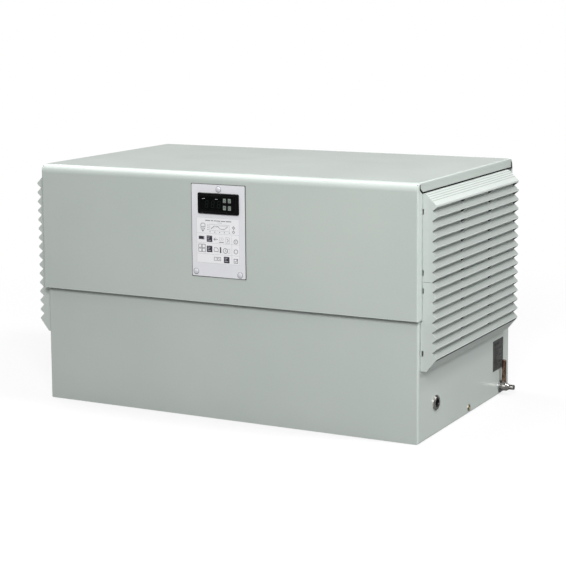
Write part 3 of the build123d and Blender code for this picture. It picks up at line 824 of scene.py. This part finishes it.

# %% [markdown]
# Two ribs stand behind the blades and show between them as pale zigzags. Their paler tone is a
# painted highlight, for the light that their edges catch. Their edge could be cut out of the
# moulding, but it is one line that follows the saw-teeth of the tips. Curve to Mesh gives that
# line a flat section, and the row repeats it at each rib. The line runs a quarter to a third of
# a millimetre inside the teeth, and half the section's depth brings its outer face flush with
# the tips.

# %% Pale edges of the ribs
BLADES = 16
TIP_NOSE = 2.2 * MM
TIP_DROP = 7.5 * MM
FOOT_RISE = 22.5 * MM
RIB_WIDTH = 2.0 * MM
RIB_DEPTH = 0.7 * MM
EDGE_INSET = 0.25 * MM
TIP_INSET = 0.34 * MM
CHEEK = 3.0 * MM
RIB_OFFSET = 1.2 * MM
last_tip = foot_low.z + FOOT_RISE
tip_pitch = (first_tip - last_tip) / (BLADES - 1)
rib_bay = (louvre_high.y - louvre_low.y - CHEEK) / 3

edge_tree, given, end = new_tree("rib_edges", {**row_inputs, "Width": "Float", "Height": "Float"})
path = fill(edge_tree, add_node(edge_tree, "GeometryNodeMeshToCurve"), {"Mesh": given["Geometry"]})
section = fill(edge_tree, add_node(edge_tree, "GeometryNodeCurvePrimitiveQuadrilateral"), {
    "Width": given["Width"], "Height": given["Height"]})
edge = fill(edge_tree, add_node(edge_tree, "GeometryNodeCurveToMesh"), {
    "Curve": path.outputs[0], "Profile Curve": section.outputs[0], "Fill Caps": True})
finish_tree(edge_tree, along_a_line(edge_tree, given, edge.outputs[0]), given["Finish"], end)

zigzag = [(slope_top.x - EDGE_INSET, slope_top.y - EDGE_INSET)]
for blade in range(BLADES):
    tip = first_tip - blade * tip_pitch
    zigzag += [(tip_x - TIP_INSET, tip - EDGE_INSET), (tip_x - TIP_INSET, tip - TIP_NOSE)]
    if blade < BLADES - 1:
        zigzag.append((tip_x - TIP_DROP - EDGE_INSET, tip - tip_pitch + TIP_DROP))
# The rib edges take the paler plastic, a painted highlight.
for side, sign in (("right", 1), ("left", -1)):
    outline = bpy.data.meshes.new("rib_outline")
    outline.from_pydata([(sign * x, 0.0, z) for x, z in zigzag],
                        [(i, i + 1) for i in range(len(zigzag) - 1)], [])
    grown(f"{side}_rib_edges", outline, edge_tree, {
        "Start": (0.0, louvre_high.y - rib_bay - RIB_OFFSET, 0.0), "Step": (0.0, -rib_bay, 0.0),
        "Count": 2, "Width": RIB_WIDTH, "Height": RIB_DEPTH, "Finish": rib_highlight_plastic})

# %% [markdown]
# Under the last blade a gap in deep shade parts it from the frame of the moulding. Its shade is
# painted: a near-black strip that lies on the foot slope, right below the blunt tip, from the
# front cheek to the rear one.
# It is drawn flat and then carried onto the slope by a matrix, whose columns are the slope's own
# directions. The left strip is its mirror image, so its faces are turned round again.

# %% Painted shade of the gap under the last blade
GAP_START, GAP_TALL = 0.2 * MM, 4.6 * MM
GAP_SUNK, GAP_PROUD = 0.05 * MM, 0.06 * MM
FOOT_SHELF = 9.5 * MM
gap_top = Vector((tip_x, last_tip - TIP_NOSE))
gap_run = (Vector((wall_x + FOOT_SHELF, foot_low.z)) - gap_top).normalized()
onto_foot = Matrix(((gap_run.x, 0, -gap_run.y, gap_top.x), (0, 1, 0, 0),
                    (gap_run.y, 0, gap_run.x, gap_top.y), (0, 0, 0, 1)))
# Each strip is a painted shade, in the near-black slot finish.
for side in ("right", "left"):
    strip = bar(f"{side}_foot_gap", (GAP_START, foot_low.y + CHEEK, -GAP_SUNK),
                (GAP_TALL, foot_high.y - CHEEK, GAP_PROUD))
    strip.transform(onto_foot)
    if side == "left":
        strip.transform(Matrix.Scale(-1, 4, (1, 0, 0)))
        strip.flip_normals()
    strip.materials.append(painted_slot_shade)
    on_unit(linked(f"{side}_foot_gap", strip))
print("foot slope leans", round(math.degrees(math.atan2(-gap_run.y, -gap_run.x)), 1), "degrees")

# %% [markdown]
# The hood sits on a strip of dark foam tape, which keeps rain out of the joint. It is also a
# painted shade: it shows as a thin black line between the flange and the louvre, and behind the
# slits at both ends of the flange, where the joint lies in shade. It is one run of tape along the
# wall, with an upright piece behind each slit. Each is a flat outline in depth and height, pulled
# out to a thickness: the corners of an outline are given in millimetres, behind a slit and above
# the flange's lower edge.

# %% Foam tape and painted shade under the hood
FLANGE_DEPTH = 16 * MM
SLIT_BACK = 8 * MM
REAR_INSET = 3.2 * MM
TAPE_FACE = 348.4 * MM
BEAD_FACE = 350.08 * MM
LIP_FACE = 350.6 * MM
LIP_CLEAR = 0.02 * MM
flange_bottom = hood_high.z - FLANGE_DEPTH
front_slit = hood_low.y + SLIT_BACK
rear_slit = hood_high.y - REAR_INSET


def outline_at(slit, corners):
    """Places in Y and Z from millimetres behind a slit and above the flange's lower edge."""
    return [(slit + back * MM, flange_bottom + up * MM) for back, up in corners]


def slab(shape, outline, low_x, high_x):
    """A flat piece with that outline in Y and Z, between two distances from the middle."""
    count = len(outline)
    rings = [[shape.verts.new((x, y, z)) for y, z in outline] for x in (low_x, high_x)]
    shape.faces.new(rings[0][::-1])
    shape.faces.new(rings[1])
    for i in range(count):
        j = (i + 1) % count
        shape.faces.new((rings[0][i], rings[0][j], rings[1][j], rings[1][i]))


lip_foot = (louvre_high.z + LIP_CLEAR - flange_bottom) / MM
backing = outline_at(front_slit, [(10, 0), (10, 13), (-4, 13), (-4, -3), (9, -3)])
bead = outline_at(front_slit, [(-1.6, 12.5), (-1.6, 5), (10, -1.2), (10, 1.6), (1.6, 7), (1.6, 12.5)])
rear_bead = outline_at(rear_slit, [(-4.6, -1.2), (0, -1.2), (0, 5.5), (-1.2, 9.5), (-4.6, 10.5)])
lip_start = outline_at(front_slit, [(10.3, 0.9), (10.3, lip_foot)])
lip = lip_start + outline_at(rear_slit, [(0, lip_foot), (0, 0.9)])
# The dark tape is a seal and a painted shade of the joint and the slits.
for side, sign in (("right", 1), ("left", -1)):
    shape = bmesh.new()
    slab(shape, backing, wall_x, TAPE_FACE)
    slab(shape, bead, TAPE_FACE, BEAD_FACE)
    slab(shape, rear_bead, wall_x, BEAD_FACE)
    slab(shape, lip, wall_x, LIP_FACE)
    bmesh.ops.scale(shape, vec=(sign, 1, 1), verts=shape.verts)
    bmesh.ops.recalc_face_normals(shape, faces=shape.faces)
    mesh = bpy.data.meshes.new(f"{side}_hood_tape")
    shape.to_mesh(mesh)
    shape.free()
    mesh.materials.append(seal_foam)
    on_unit(linked(f"{side}_hood_tape", mesh))
print("tape is", round((TAPE_FACE - wall_x) / MM, 2), "mm thick")

# %% [markdown]
# The same tape runs behind the hood's front edge. Its lower edge hangs a millimetre below the
# sheet and draws the dark line between the hood and the lower front: a painted shadow, for the
# shadow that the hood's edge casts there.

# %% Painted shadow under the front edge, in foam tape
FRONT_HALF = 345 * MM
FRONT_BEHIND = 2.2 * MM
FRONT_SUNK = 0.3 * MM
FRONT_LIP, FRONT_RISE = 1.1 * MM, 6 * MM
# The tape below the edge is a painted shadow.
front_shade_tape = bar(
    "front_hood_tape", (-FRONT_HALF, hood_low.y + FRONT_BEHIND, hood_low.z - FRONT_LIP),
    (FRONT_HALF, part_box("front_wall")[0].y + FRONT_SUNK, hood_low.z + FRONT_RISE), 0.3 * MM)
front_shade_tape.materials.append(seal_foam)
on_unit(linked("front_hood_tape", front_shade_tape))
print("front tape hangs", FRONT_LIP / MM, "mm below the hood")

# %% [markdown]
# Print is a skin of ink. A picture laid on the plate would be simpler, but a shape keeps its
# edge at any distance, so each mark is a flat shape a few hundredths of a millimetre thick. The
# class below draws marks on a face. It turns a place on the drawing (to the right and down, in
# millimetres) into a place on the piece, and a line into a band of even width with mitred
# corners. Points that two patches share are merged, so that a band is one closed skin.

# %% Ink on a flat face
INK = 0.03 * MM
INK_GAP = 0.01 * MM
LEAST_MITRE = 0.4


class Ink:
    """Flat marks on a face that looks along -Y, or along +X, in up to three inks."""

    def __init__(self, left, top, face, on_side=False):
        self.shape = bmesh.new()
        self.left, self.top, self.face, self.on_side = left, top, face, on_side

    def point(self, across, down):
        along, height = self.left + across * MM, self.top - down * MM
        return (self.face, along, height) if self.on_side else (along, self.face, height)

    def patch(self, points, ink=0):
        corners = [self.shape.verts.new(self.point(*p)) for p in points]
        face = self.shape.faces.new(corners)
        face.normal_update()
        if (-face.normal.x if self.on_side else face.normal.y) > 0:
            face.normal_flip()
        face.material_index = ink

    def block(self, across, down, width, height, ink=0):
        self.patch([(across, down), (across + width, down),
                    (across + width, down + height), (across, down + height)], ink)

    def line(self, points, width, ink=0, closed=False):
        count = len(points)
        sides = [[], []]
        for i in range(count):
            here = Vector(points[i])
            before = Vector(points[i - 1]) if i or closed else None
            after = Vector(points[(i + 1) % count]) if i < count - 1 or closed else None
            ways = [w.normalized() for w in ((here - before) if before else None,
                                             (after - here) if after else None) if w]
            way = sum(ways, Vector((0, 0))).normalized()
            across = Vector((-way.y, way.x))
            reach = width / 2 / max(LEAST_MITRE, across.dot(Vector((-ways[0].y, ways[0].x))))
            sides[0].append(here + across * reach)
            sides[1].append(here - across * reach)
        for i in range(count if closed else count - 1):
            j = (i + 1) % count
            self.patch([sides[0][i], sides[0][j], sides[1][j], sides[1][i]], ink)

    def ring(self, across, down, radius, width, ink=0, corners=20):
        turn = 2 * math.pi / corners
        self.line([(across + radius * math.cos(i * turn), down + radius * math.sin(i * turn))
                   for i in range(corners)], width, ink, closed=True)

    def frame(self, across, down, wide, high, width, ink=0):
        self.line([(across, down), (across + wide, down), (across + wide, down + high),
                   (across, down + high)], width, ink, closed=True)

    def done(self, name, inks, depth=INK):
        bmesh.ops.remove_doubles(self.shape, verts=self.shape.verts, dist=MERGE_GAP)
        mesh = bpy.data.meshes.new(name)
        self.shape.to_mesh(mesh)
        self.shape.free()
        for ink in inks:
            mesh.materials.append(ink)
        piece = linked(name, mesh)
        skin = piece.modifiers.new("ink_depth", "SOLIDIFY")
        skin.thickness = depth
        skin.offset = 1.0
        on_unit(piece)
        print(name, len(mesh.polygons), "faces")


print("ink is", INK / MM, "mm thick")

# %% [markdown]
# The white plate carries a legend on a whiter panel of its own, a sheet an eighth of a
# millimetre thick. A thin bar with softened edges makes it, so its rim catches a little light.

# %% Legend panel
LEGEND_WIDTH = 80.0
LEGEND_HEIGHT = 75.0
LEGEND_LEFT = -41.0 * MM
LEGEND_TOP = 337.0 * MM
LEGEND_THICK = 0.12 * MM
legend_right = LEGEND_LEFT + LEGEND_WIDTH * MM
legend_foot = LEGEND_TOP - LEGEND_HEIGHT * MM
panel_mesh = bar("legend_panel", (LEGEND_LEFT, plate_face - LEGEND_THICK, legend_foot),
                 (legend_right, plate_face + LEGEND_THICK, LEGEND_TOP), 0.05 * MM)
panel_mesh.materials.append(legend_white)
on_unit(linked("legend_panel", panel_mesh))
print("legend panel", LEGEND_WIDTH, "x", LEGEND_HEIGHT, "mm")

# %% [markdown]
# Pale lines divide the legend into four bands and a column on the right, and plain rules run
# across its top. All its signs are generic ones of this lesson's own, drawn in black, grey and
# pale ink in the places and weights that such a legend has.

# %% Bands of the legend
BLACK, GREY, PALE = 0, 1, 2
BAND_ENDS = (26.1, 41.9, 59.9)
legend = Ink(LEGEND_LEFT, LEGEND_TOP, plate_face - LEGEND_THICK - INK_GAP)
for down in BAND_ENDS:
    legend.line([(0.5, down), (LEGEND_WIDTH - 0.5, down)], 0.35, PALE)
legend.line([(65.7, 28), (65.7, 73)], 0.35, PALE)
legend.frame(0.3, 0.3, LEGEND_WIDTH - 0.6, LEGEND_HEIGHT - 0.6, 0.3, PALE)
for across, width in ((16.7, 9), (27.2, 4), (32.6, 12), (45.8, 8), (55.2, 10)):
    legend.block(across, 4.3, width, 1.2, GREY)
legend.block(39, 7.4, 9, 0.9, PALE)
print("bands end at", BAND_ENDS, "mm")

# %% [markdown]
# The first band shows a cabinet over a fan of air, a chart with its scale, and two small
# diamonds. Straight strokes of even width are enough for signs of a few millimetres.

# %% First band
legend.line([(8.2, 15), (8.2, 11.5), (10, 9.8), (14.4, 9.8), (16, 11.5), (16, 15)], 0.8, GREY)
legend.line([(7.4, 15.4), (16.8, 15.4)], 0.8, GREY)
for lean in (-3.5, 0, 3.5):
    legend.line([(11.8, 23.6), (11.8 + lean, 18.2)], 0.8, GREY)
legend.line([(7.2, 17.8), (16.4, 17.8)], 0.7, GREY)
legend.frame(24.5, 11, 37, 10, 0.5, PALE)
legend.line([(27, 19), (33, 13.5), (39, 13.5), (45, 18), (52, 18), (59, 13)], 0.7, GREY)
legend.line([(27, 16.5), (36, 16.5), (42, 12.8), (59, 12.8)], 0.5, PALE)
for step in range(5):
    legend.block(24.6 + 9.0 * step, 22.6, 1.5, 1.4, GREY)
for down in (12.0, 15.5, 19.0):
    legend.block(20.5, down, 2.0, 1.0, GREY)
for down in (14.7, 21.5):
    legend.line([(69.3, down - 2.3), (71.6, down), (69.3, down + 2.3), (67.0, down)], 0.9, GREY,
                closed=True)
print("first band:", len(legend.shape.faces), "patches so far")

# %% [markdown]
# The second band has a dark bar, a dark square, an arrow at a wall, drops over a tray, a door
# and a dial. The dark squares come back in the bands below, so their places are kept in one list.

# %% Second band
SQUARE = 10.4
SQUARE_PLACES = ((18.9, 29.6), (18.9, 46.4), (50.7, 62.6))
legend.block(3.9, 31, 9.6, 5.4, BLACK)
legend.line([(14.2, 31.4), (15.4, 31.4), (15.4, 36), (14.2, 36)], 0.5, GREY)
legend.block(*SQUARE_PLACES[0], SQUARE, SQUARE, BLACK)
legend.line([(32.4, 35), (40, 35)], 0.8, GREY)
legend.line([(34.6, 32.8), (32.4, 35), (34.6, 37.2)], 0.8, GREY)
legend.line([(36.2, 31.5), (36.2, 38.5)], 0.6, PALE)
for step in range(3):
    legend.line([(42.5 + 3 * step, 31), (44 + 3 * step, 34), (42.5 + 3 * step, 37)], 0.6, PALE)
legend.line([(42, 39.6), (51, 39.6)], 0.9, GREY)
legend.frame(54.6, 31, 6.8, 9.6, 0.6, PALE)
legend.line([(57, 33), (59.4, 35.8), (57, 38.6)], 0.7, GREY)
legend.ring(73.2, 37, 3.4, 0.9, GREY)
legend.line([(73.2, 35), (73.2, 38)], 0.9, GREY)
print("second band:", len(legend.shape.faces), "patches so far")

# %% [markdown]
# The third band has four cells, a dark square, a page, a column, a clock, a door and a ring. The
# fourth has two boxes, a dark square and a ticked box. Cells and boxes repeat in a loop.

# %% Third and fourth band
for down in (44.6, 51.4):
    for across in (3.6, 10.4):
        legend.frame(across, down, 5.6, 5.4, 0.8, GREY)
legend.block(*SQUARE_PLACES[1], SQUARE, SQUARE, BLACK)
legend.line([(32.6, 49), (38.4, 49), (40.4, 51), (40.4, 55), (32.6, 55)], 0.7, GREY, closed=True)
legend.block(43.4, 47.4, 2.6, 9.6, BLACK)
legend.ring(53.6, 53, 4.0, 0.8, GREY)
legend.line([(53.6, 50.6), (53.6, 53), (55.4, 54.4)], 0.7, GREY)
legend.frame(58.0, 49.6, 4.2, 6.8, 0.6, PALE)
legend.ring(73.2, 53.2, 3.4, 0.9, GREY)
for across in (32.6, 39.4):
    legend.frame(across, 64.6, 5.4, 5.2, 0.7, GREY)
legend.line([(40.6, 66), (43.6, 68.6)], 0.6, GREY)
legend.block(*SQUARE_PLACES[2], SQUARE, SQUARE, BLACK)
legend.frame(69.6, 65.4, 6.6, 6.4, 0.9, GREY)
legend.line([(71, 68.6), (72.6, 70.2), (76.6, 65)], 0.9, GREY)
legend_inks = [print_black, print_grey, print_pale]
legend.done("legend_print", legend_inks)

# %% [markdown]
# Three pale bars lie on each dark square. Ink on ink is printed in a second pass on the real
# panel too, so they are a piece of their own, one skin further out. In the same plane the two
# inks would flicker through each other.

# %% Pale bars on the dark squares
SECOND_PASS = 0.05 * MM
BAR_INDENT, BAR_START, BAR_STEP, BAR_HEIGHT = 0.14, 0.18, 0.26, 0.08
BAR_LENGTHS = (0.5, 0.34, 0.62)
over_print = Ink(LEGEND_LEFT, LEGEND_TOP, plate_face - LEGEND_THICK - SECOND_PASS)
for across, down in SQUARE_PLACES:
    for row, length in enumerate(BAR_LENGTHS):
        over_print.block(across + BAR_INDENT * SQUARE, down + (BAR_START + BAR_STEP * row) * SQUARE,
                         length * SQUARE, BAR_HEIGHT * SQUARE, PALE)
over_print.done("legend_print_over", legend_inks)

# %% [markdown]
# Behind the controller's window are three digits of seven segments each. The unit is switched
# off, so they only show as a trace of green. Two pale dashes above them are indicator marks.
# Each segment is one four-cornered patch, and the whole digit leans a little to the right.

# %% Digits behind the window
window_low, window_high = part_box("display_window")
DIGIT_LEFT, DIGIT_TOP, DIGIT_STEP = 7.0, 4.7, 11.4
DIGIT_WIDTH, DIGIT_HEIGHT = 6.4, 12.4
SEGMENT, SEGMENT_END, SEGMENT_TAPER = 1.5, 0.8, 0.8
UPRIGHT, UPRIGHT_START, UPRIGHT_SHORT, WAIST = 1.2, 0.9, 1.6, 0.3
DASHES = ((2.35, 1.9, 5.6), (27.15, 2.1, 4.4))
DASH_HEIGHT = 0.6
LEAN = 0.12


def lean(down):
    """How far a digit has leant to the right at that distance below the window's top."""
    return LEAN * (DIGIT_HEIGHT - (down - DIGIT_TOP))


digits = Ink(window_low.x, window_high.z, window_low.y - 2 * INK_GAP)
for digit in range(3):
    left = DIGIT_LEFT + DIGIT_STEP * digit
    for row in range(3):
        down = DIGIT_TOP + row * (DIGIT_HEIGHT - SEGMENT) / 2
        start = left + SEGMENT_END + lean(down)
        stop = left + DIGIT_WIDTH - SEGMENT_END + lean(down)
        digits.patch([(start, down), (stop, down), (stop - SEGMENT_TAPER, down + SEGMENT),
                      (start + SEGMENT_TAPER, down + SEGMENT)])
    for column in range(2):
        for row in range(2):
            down = DIGIT_TOP + UPRIGHT_START + row * (DIGIT_HEIGHT / 2 - WAIST)
            foot = down + DIGIT_HEIGHT / 2 - UPRIGHT_SHORT
            start = left + column * (DIGIT_WIDTH - UPRIGHT)
            digits.patch([(start + lean(down), down), (start + UPRIGHT + lean(down), down),
                          (start + UPRIGHT + lean(foot), foot), (start + lean(foot), foot)])
for across, down, width in DASHES:
    digits.block(across, down, width, DASH_HEIGHT, 1)
digits.done("display_digits", [unlit_green, print_pale])

# %% [markdown]
# Three hairlines follow the rim of the controller's face, above and below the window and at its
# right end. They are where the bezel clips onto the body, and they are drawn as thin grey lines.

# %% Lines of the bezel
body_low, body_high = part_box("controller_body")
BEZEL_LEFT, BEZEL_RIGHT = 4.2, 70.2
BEZEL_ABOVE, BEZEL_BELOW = 3.6, 30.6
END_LINE, END_TOP, END_FOOT = 71.9, 4.5, 29.5
marks = Ink(body_low.x, body_high.z, body_low.y - INK_GAP)
marks.line([(END_LINE, END_TOP), (END_LINE, END_FOOT)], 0.35)
for down in (BEZEL_ABOVE, BEZEL_BELOW):
    marks.line([(BEZEL_LEFT, down), (BEZEL_RIGHT, down)], 0.25)
marks.done("controller_marks", [bezel_line])

# %% [markdown]
# Each of the four grey keys has a dark sign: an arrow up, an arrow down, a switch and a square.
# They are drawn from the upper left corner of the block of keys, and the right and lower keys
# are found from its size. Half of the ink's depth is sunk into the keys.

# %% Key signs
keys_low, keys_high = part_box("controller_keys")
KEY_WIDE, KEY_TALL, KEY_GAP = 5.1, 6.7, 0.15
key_right = (keys_high.x - keys_low.x) / MM - KEY_WIDE - KEY_GAP
key_foot = (keys_high.z - keys_low.z) / MM - KEY_TALL
middle = KEY_WIDE / 2
signs = Ink(keys_low.x, keys_high.z, keys_low.y + INK / 2)
signs.line([(1.0, 4.4), (middle, 2.2), (4.1, 4.4)], 0.8)
signs.block(1.2, 5.2, 2.7, 0.6)
signs.line([(key_right + 1.0, 2.2), (key_right + middle, 4.4), (key_right + 4.1, 2.2)], 0.8)
signs.block(key_right + 1.2, 5.2, 2.7, 0.6)
signs.ring(middle, key_foot + 3.4, 1.4, 0.6)
signs.line([(middle, key_foot + 1.4), (middle, key_foot + 3.2)], 0.6)
signs.frame(key_right + 1.1, key_foot + 1.8, 2.9, 3.0, 0.6)
signs.done("key_signs", [sign_dark])

# %% [markdown]
# A thin black rim round the plate is a painted shadow of its edge, and each of its three caps
# has a narrow painted shadow line in grey. The same class draws them, with a skin as deep as the
# plate is thick.

# %% Painted shadow round the plate
CAP_PLACES = ((50.7, 7.8), (7.4, 144.4), (89.7, 145.7))
RIM_WIDTH, RIM_OUT, RIM_DEPTH = 0.7, 0.05, 1.04 * MM
CAP_RING = 4.9
plate_wide, plate_tall = [(plate_high[axis] - plate_low[axis]) / MM for axis in (0, 2)]
# The black rim and the grey rings are painted shadow.
rim = Ink(plate_low.x, plate_high.z, plate_face + 1.0 * MM)
rim.frame(-RIM_OUT, -RIM_OUT, plate_wide + 2 * RIM_OUT, plate_tall + 2 * RIM_OUT, RIM_WIDTH)
for across, down in CAP_PLACES:
    rim.ring(across, down, CAP_RING, RIM_WIDTH, 1)
rim.done("plate_gasket", [rubber_seal, print_grey], RIM_DEPTH)

# %% [markdown]
# The rating plate on the right wall is a dark foil with a border, a bar across its top and two
# columns of plain rules. Their lengths are irregular, as written lines are.

# %% Rules of the foil
foil_low, foil_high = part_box("rating_plate")
PALE_RULE, BLACK_RULE = 0, 1
LEFT_RULES = (17, 12, 19, 14, 9, 16, 11, 18, 13)
RIGHT_RULES = (10, 15, 8, 17, 13, 9, 16, 12, 7)
FIRST_RULE, RULE_STEP, RULE_HEIGHT = 15.0, 3.9, 1.3
foil = Ink(foil_low.y, foil_high.z, foil_high.x, on_side=True)
foil.frame(1.6, 1.6, 44.8, 49.8, 0.6, PALE_RULE)
foil.line([(1.6, 12), (46.4, 12)], 0.5, PALE_RULE)
for row, (left, right) in enumerate(zip(LEFT_RULES, RIGHT_RULES)):
    down = FIRST_RULE + RULE_STEP * row
    foil.block(4.0, down, left, RULE_HEIGHT, BLACK_RULE)
    foil.block(26.0, down, right, RULE_HEIGHT, PALE_RULE if row % 3 else BLACK_RULE)
foil.block(4.0, 5.0, 24, 3.2, BLACK_RULE)
foil.done("rating_rules", [foil_pale, foil_black])

# %% [markdown]
# Screws are too small for the solids. The plate is held by three domed white caps, and the walls
# and the rear panel by pan-head screws with a cross recess. A head is turned, so it is modelled
# as rings on a lathe. The cross isn't round: it is pressed into the fine grid of the rings, by a
# rule that says how deep a spot sinks.

# %% A lathe for heads
HEAD_SUNK = 0.3 * MM


def lathe(name, rings, sides, press=None):
    """A head turned about Z from (radius, height) rings; `press` gives how deep a spot sinks."""
    shape = bmesh.new()
    rows = []
    for radius, height in rings:
        row = []
        for side in range(sides):
            turn = 2 * math.pi * side / sides
            x, y = radius * math.cos(turn), radius * math.sin(turn)
            row.append(shape.verts.new((x, y, height - (press(x, y) if press else 0.0))))
        rows.append(row)
    for outer, inner in zip(rows, rows[1:]):
        for i in range(sides):
            j = (i + 1) % sides
            shape.faces.new((outer[i], outer[j], inner[j], inner[i]))
    shape.faces.new(rows[-1])
    shape.faces.new(rows[0][::-1])
    for face in shape.faces:
        face.smooth = len(face.verts) == 4
    mesh = bpy.data.meshes.new(name)
    shape.to_mesh(mesh)
    shape.free()
    print(name, len(mesh.polygons), "faces")
    return mesh


CAP_RADIUS = 4.6 * MM
CAP_HEIGHT = 2.2 * MM
CAP_RIM = 0.25 * MM
CAP_STEPS, CAP_QUARTER = 8, 8.4
cap_rings = [(CAP_RADIUS, -HEAD_SUNK), (CAP_RADIUS, CAP_RIM)]
for step in range(1, CAP_STEPS + 1):
    turn = math.radians(90 * step / CAP_QUARTER)
    cap_rings.append((CAP_RADIUS * math.cos(turn), CAP_RIM + CAP_HEIGHT * math.sin(turn)))
cap_head = lathe("cap_head", cap_rings, 40)

# %% [markdown]
# The pan head is flat on top and rounds over into an upright rim. The arms of its cross run out
# towards their ends and their walls lean a little, as a driver's tip does.

# %% The pan head and its cross
PAN_RADIUS, PAN_HEIGHT, PAN_RIM = 5.4 * MM, 2.2 * MM, 0.7 * MM
PAN_STEPS, PAN_FLATNESS, PAN_ROUNDING = 26, 3.2, 0.6
RECESS_REACH, RECESS_HALF, RECESS_DEPTH = 3.3 * MM, 0.85 * MM, 1.5 * MM
ARM_RUN_OUT, WALL_LEAN = 0.7 * MM, 0.25 * MM


def cross_press(x, y):
    """How deep the cross recess is at a spot: its arms taper, and its walls lean a little."""
    long, short = max(abs(x), abs(y)), min(abs(x), abs(y))
    reach = min(1.0, max(0.0, (RECESS_REACH - long) / ARM_RUN_OUT))
    wall = min(1.0, max(0.0, (RECESS_HALF - short) / WALL_LEAN))
    return RECESS_DEPTH * reach * wall


pan_rings = [(PAN_RADIUS, -HEAD_SUNK), (PAN_RADIUS, PAN_RIM)]
for step in range(1, PAN_STEPS):
    radius = PAN_RADIUS * (1 - step / PAN_STEPS)
    rise = (1 - (radius / PAN_RADIUS) ** PAN_FLATNESS) ** PAN_ROUNDING
    pan_rings.append((radius, PAN_RIM + (PAN_HEIGHT - PAN_RIM) * rise))
pan_head = lathe("pan_head", pan_rings, 64, cross_press)

# %% [markdown]
# Geometry Nodes set a head on each point, turn it to face outwards and twist it by a random
# angle, because nobody tightens screws to the same angle. The seed is an input, so the angles
# come out the same each time.

# %% A tree that sets heads on points
screw_tree, given, end = new_tree("heads_on_points", {
    "Head": "Object", "Turn": "Vector", "Seed": "Int", "Finish": "Material"})
head = fill(screw_tree, add_node(screw_tree, "GeometryNodeObjectInfo"), {"Object": given["Head"]})
facing = fill(screw_tree, add_node(screw_tree, "FunctionNodeEulerToRotation"), {
    "Euler": given["Turn"]})
on_points = fill(screw_tree, add_node(screw_tree, "GeometryNodeInstanceOnPoints"), {
    "Points": given["Geometry"], "Instance": head.outputs["Geometry"],
    "Rotation": facing.outputs[0]})
chance = fill(screw_tree, add_node(screw_tree, "FunctionNodeRandomValue", data_type="FLOAT"), {
    2: 0.0, 3: 2 * math.pi, "Seed": given["Seed"]})
twist = fill(screw_tree, add_node(screw_tree, "ShaderNodeCombineXYZ"), {"Z": chance.outputs[1]})
spin = fill(screw_tree, add_node(screw_tree, "FunctionNodeEulerToRotation"), {
    "Euler": twist.outputs[0]})
twisted = fill(screw_tree, add_node(screw_tree, "GeometryNodeRotateInstances"), {
    "Instances": on_points.outputs[0], "Rotation": spin.outputs[0]})
finish_tree(screw_tree, twisted.outputs[0], given["Finish"], end)
print("the screw tree has", len(screw_tree.nodes), "nodes")

# %% [markdown]
# The caps stand on the plate at the places of its painted shadow rings. One screw holds each side
# wall near its foot, and six hold the rear panel, three down each side.

# %% Screws where they belong
WALL_SCREW_Y, WALL_SCREW_Z = 17.4 * MM, 9.6 * MM
REAR_SCREW_X = 335 * MM
REAR_SCREW_HEIGHTS = (25, 190, 355)
FIRST_SEED = 3
quarter = math.radians(90)
rear_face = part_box("rear_panel")[1].y
cap_places = [(plate_low.x + across * MM, plate_face, plate_high.z - down * MM)
              for across, down in CAP_PLACES]
rear_places = [(sign * REAR_SCREW_X, rear_face, height * MM)
               for sign in (-1, 1) for height in REAR_SCREW_HEIGHTS]
screw_sets = {
    "plate_caps": (cap_head, cap_places, (quarter, 0, 0), cap_white, "white_plate"),
    "right_wall_screw": (pan_head, [(wall_x, WALL_SCREW_Y, WALL_SCREW_Z)], (0, quarter, 0),
                         zinc_yellow, "nickel_plate"),
    "left_wall_screw": (pan_head, [(-wall_x, WALL_SCREW_Y, WALL_SCREW_Z)], (0, -quarter, 0),
                        zinc_yellow, "nickel_plate"),
    "rear_screws": (pan_head, rear_places, (-quarter, 0, 0), zinc_yellow, "nickel_plate"),
}
for seed, (name, (mesh, places, turn, finish, slot)) in enumerate(screw_sets.items(), FIRST_SEED):
    prototype = linked("screw_head", mesh)
    spots = bpy.data.meshes.new(f"{name}_spots")
    spots.from_pydata(places, [], [])
    grown(name, spots, screw_tree, {
        "Head": prototype, "Turn": turn, "Seed": seed, "Finish": finish})
    bpy.data.objects.remove(prototype)
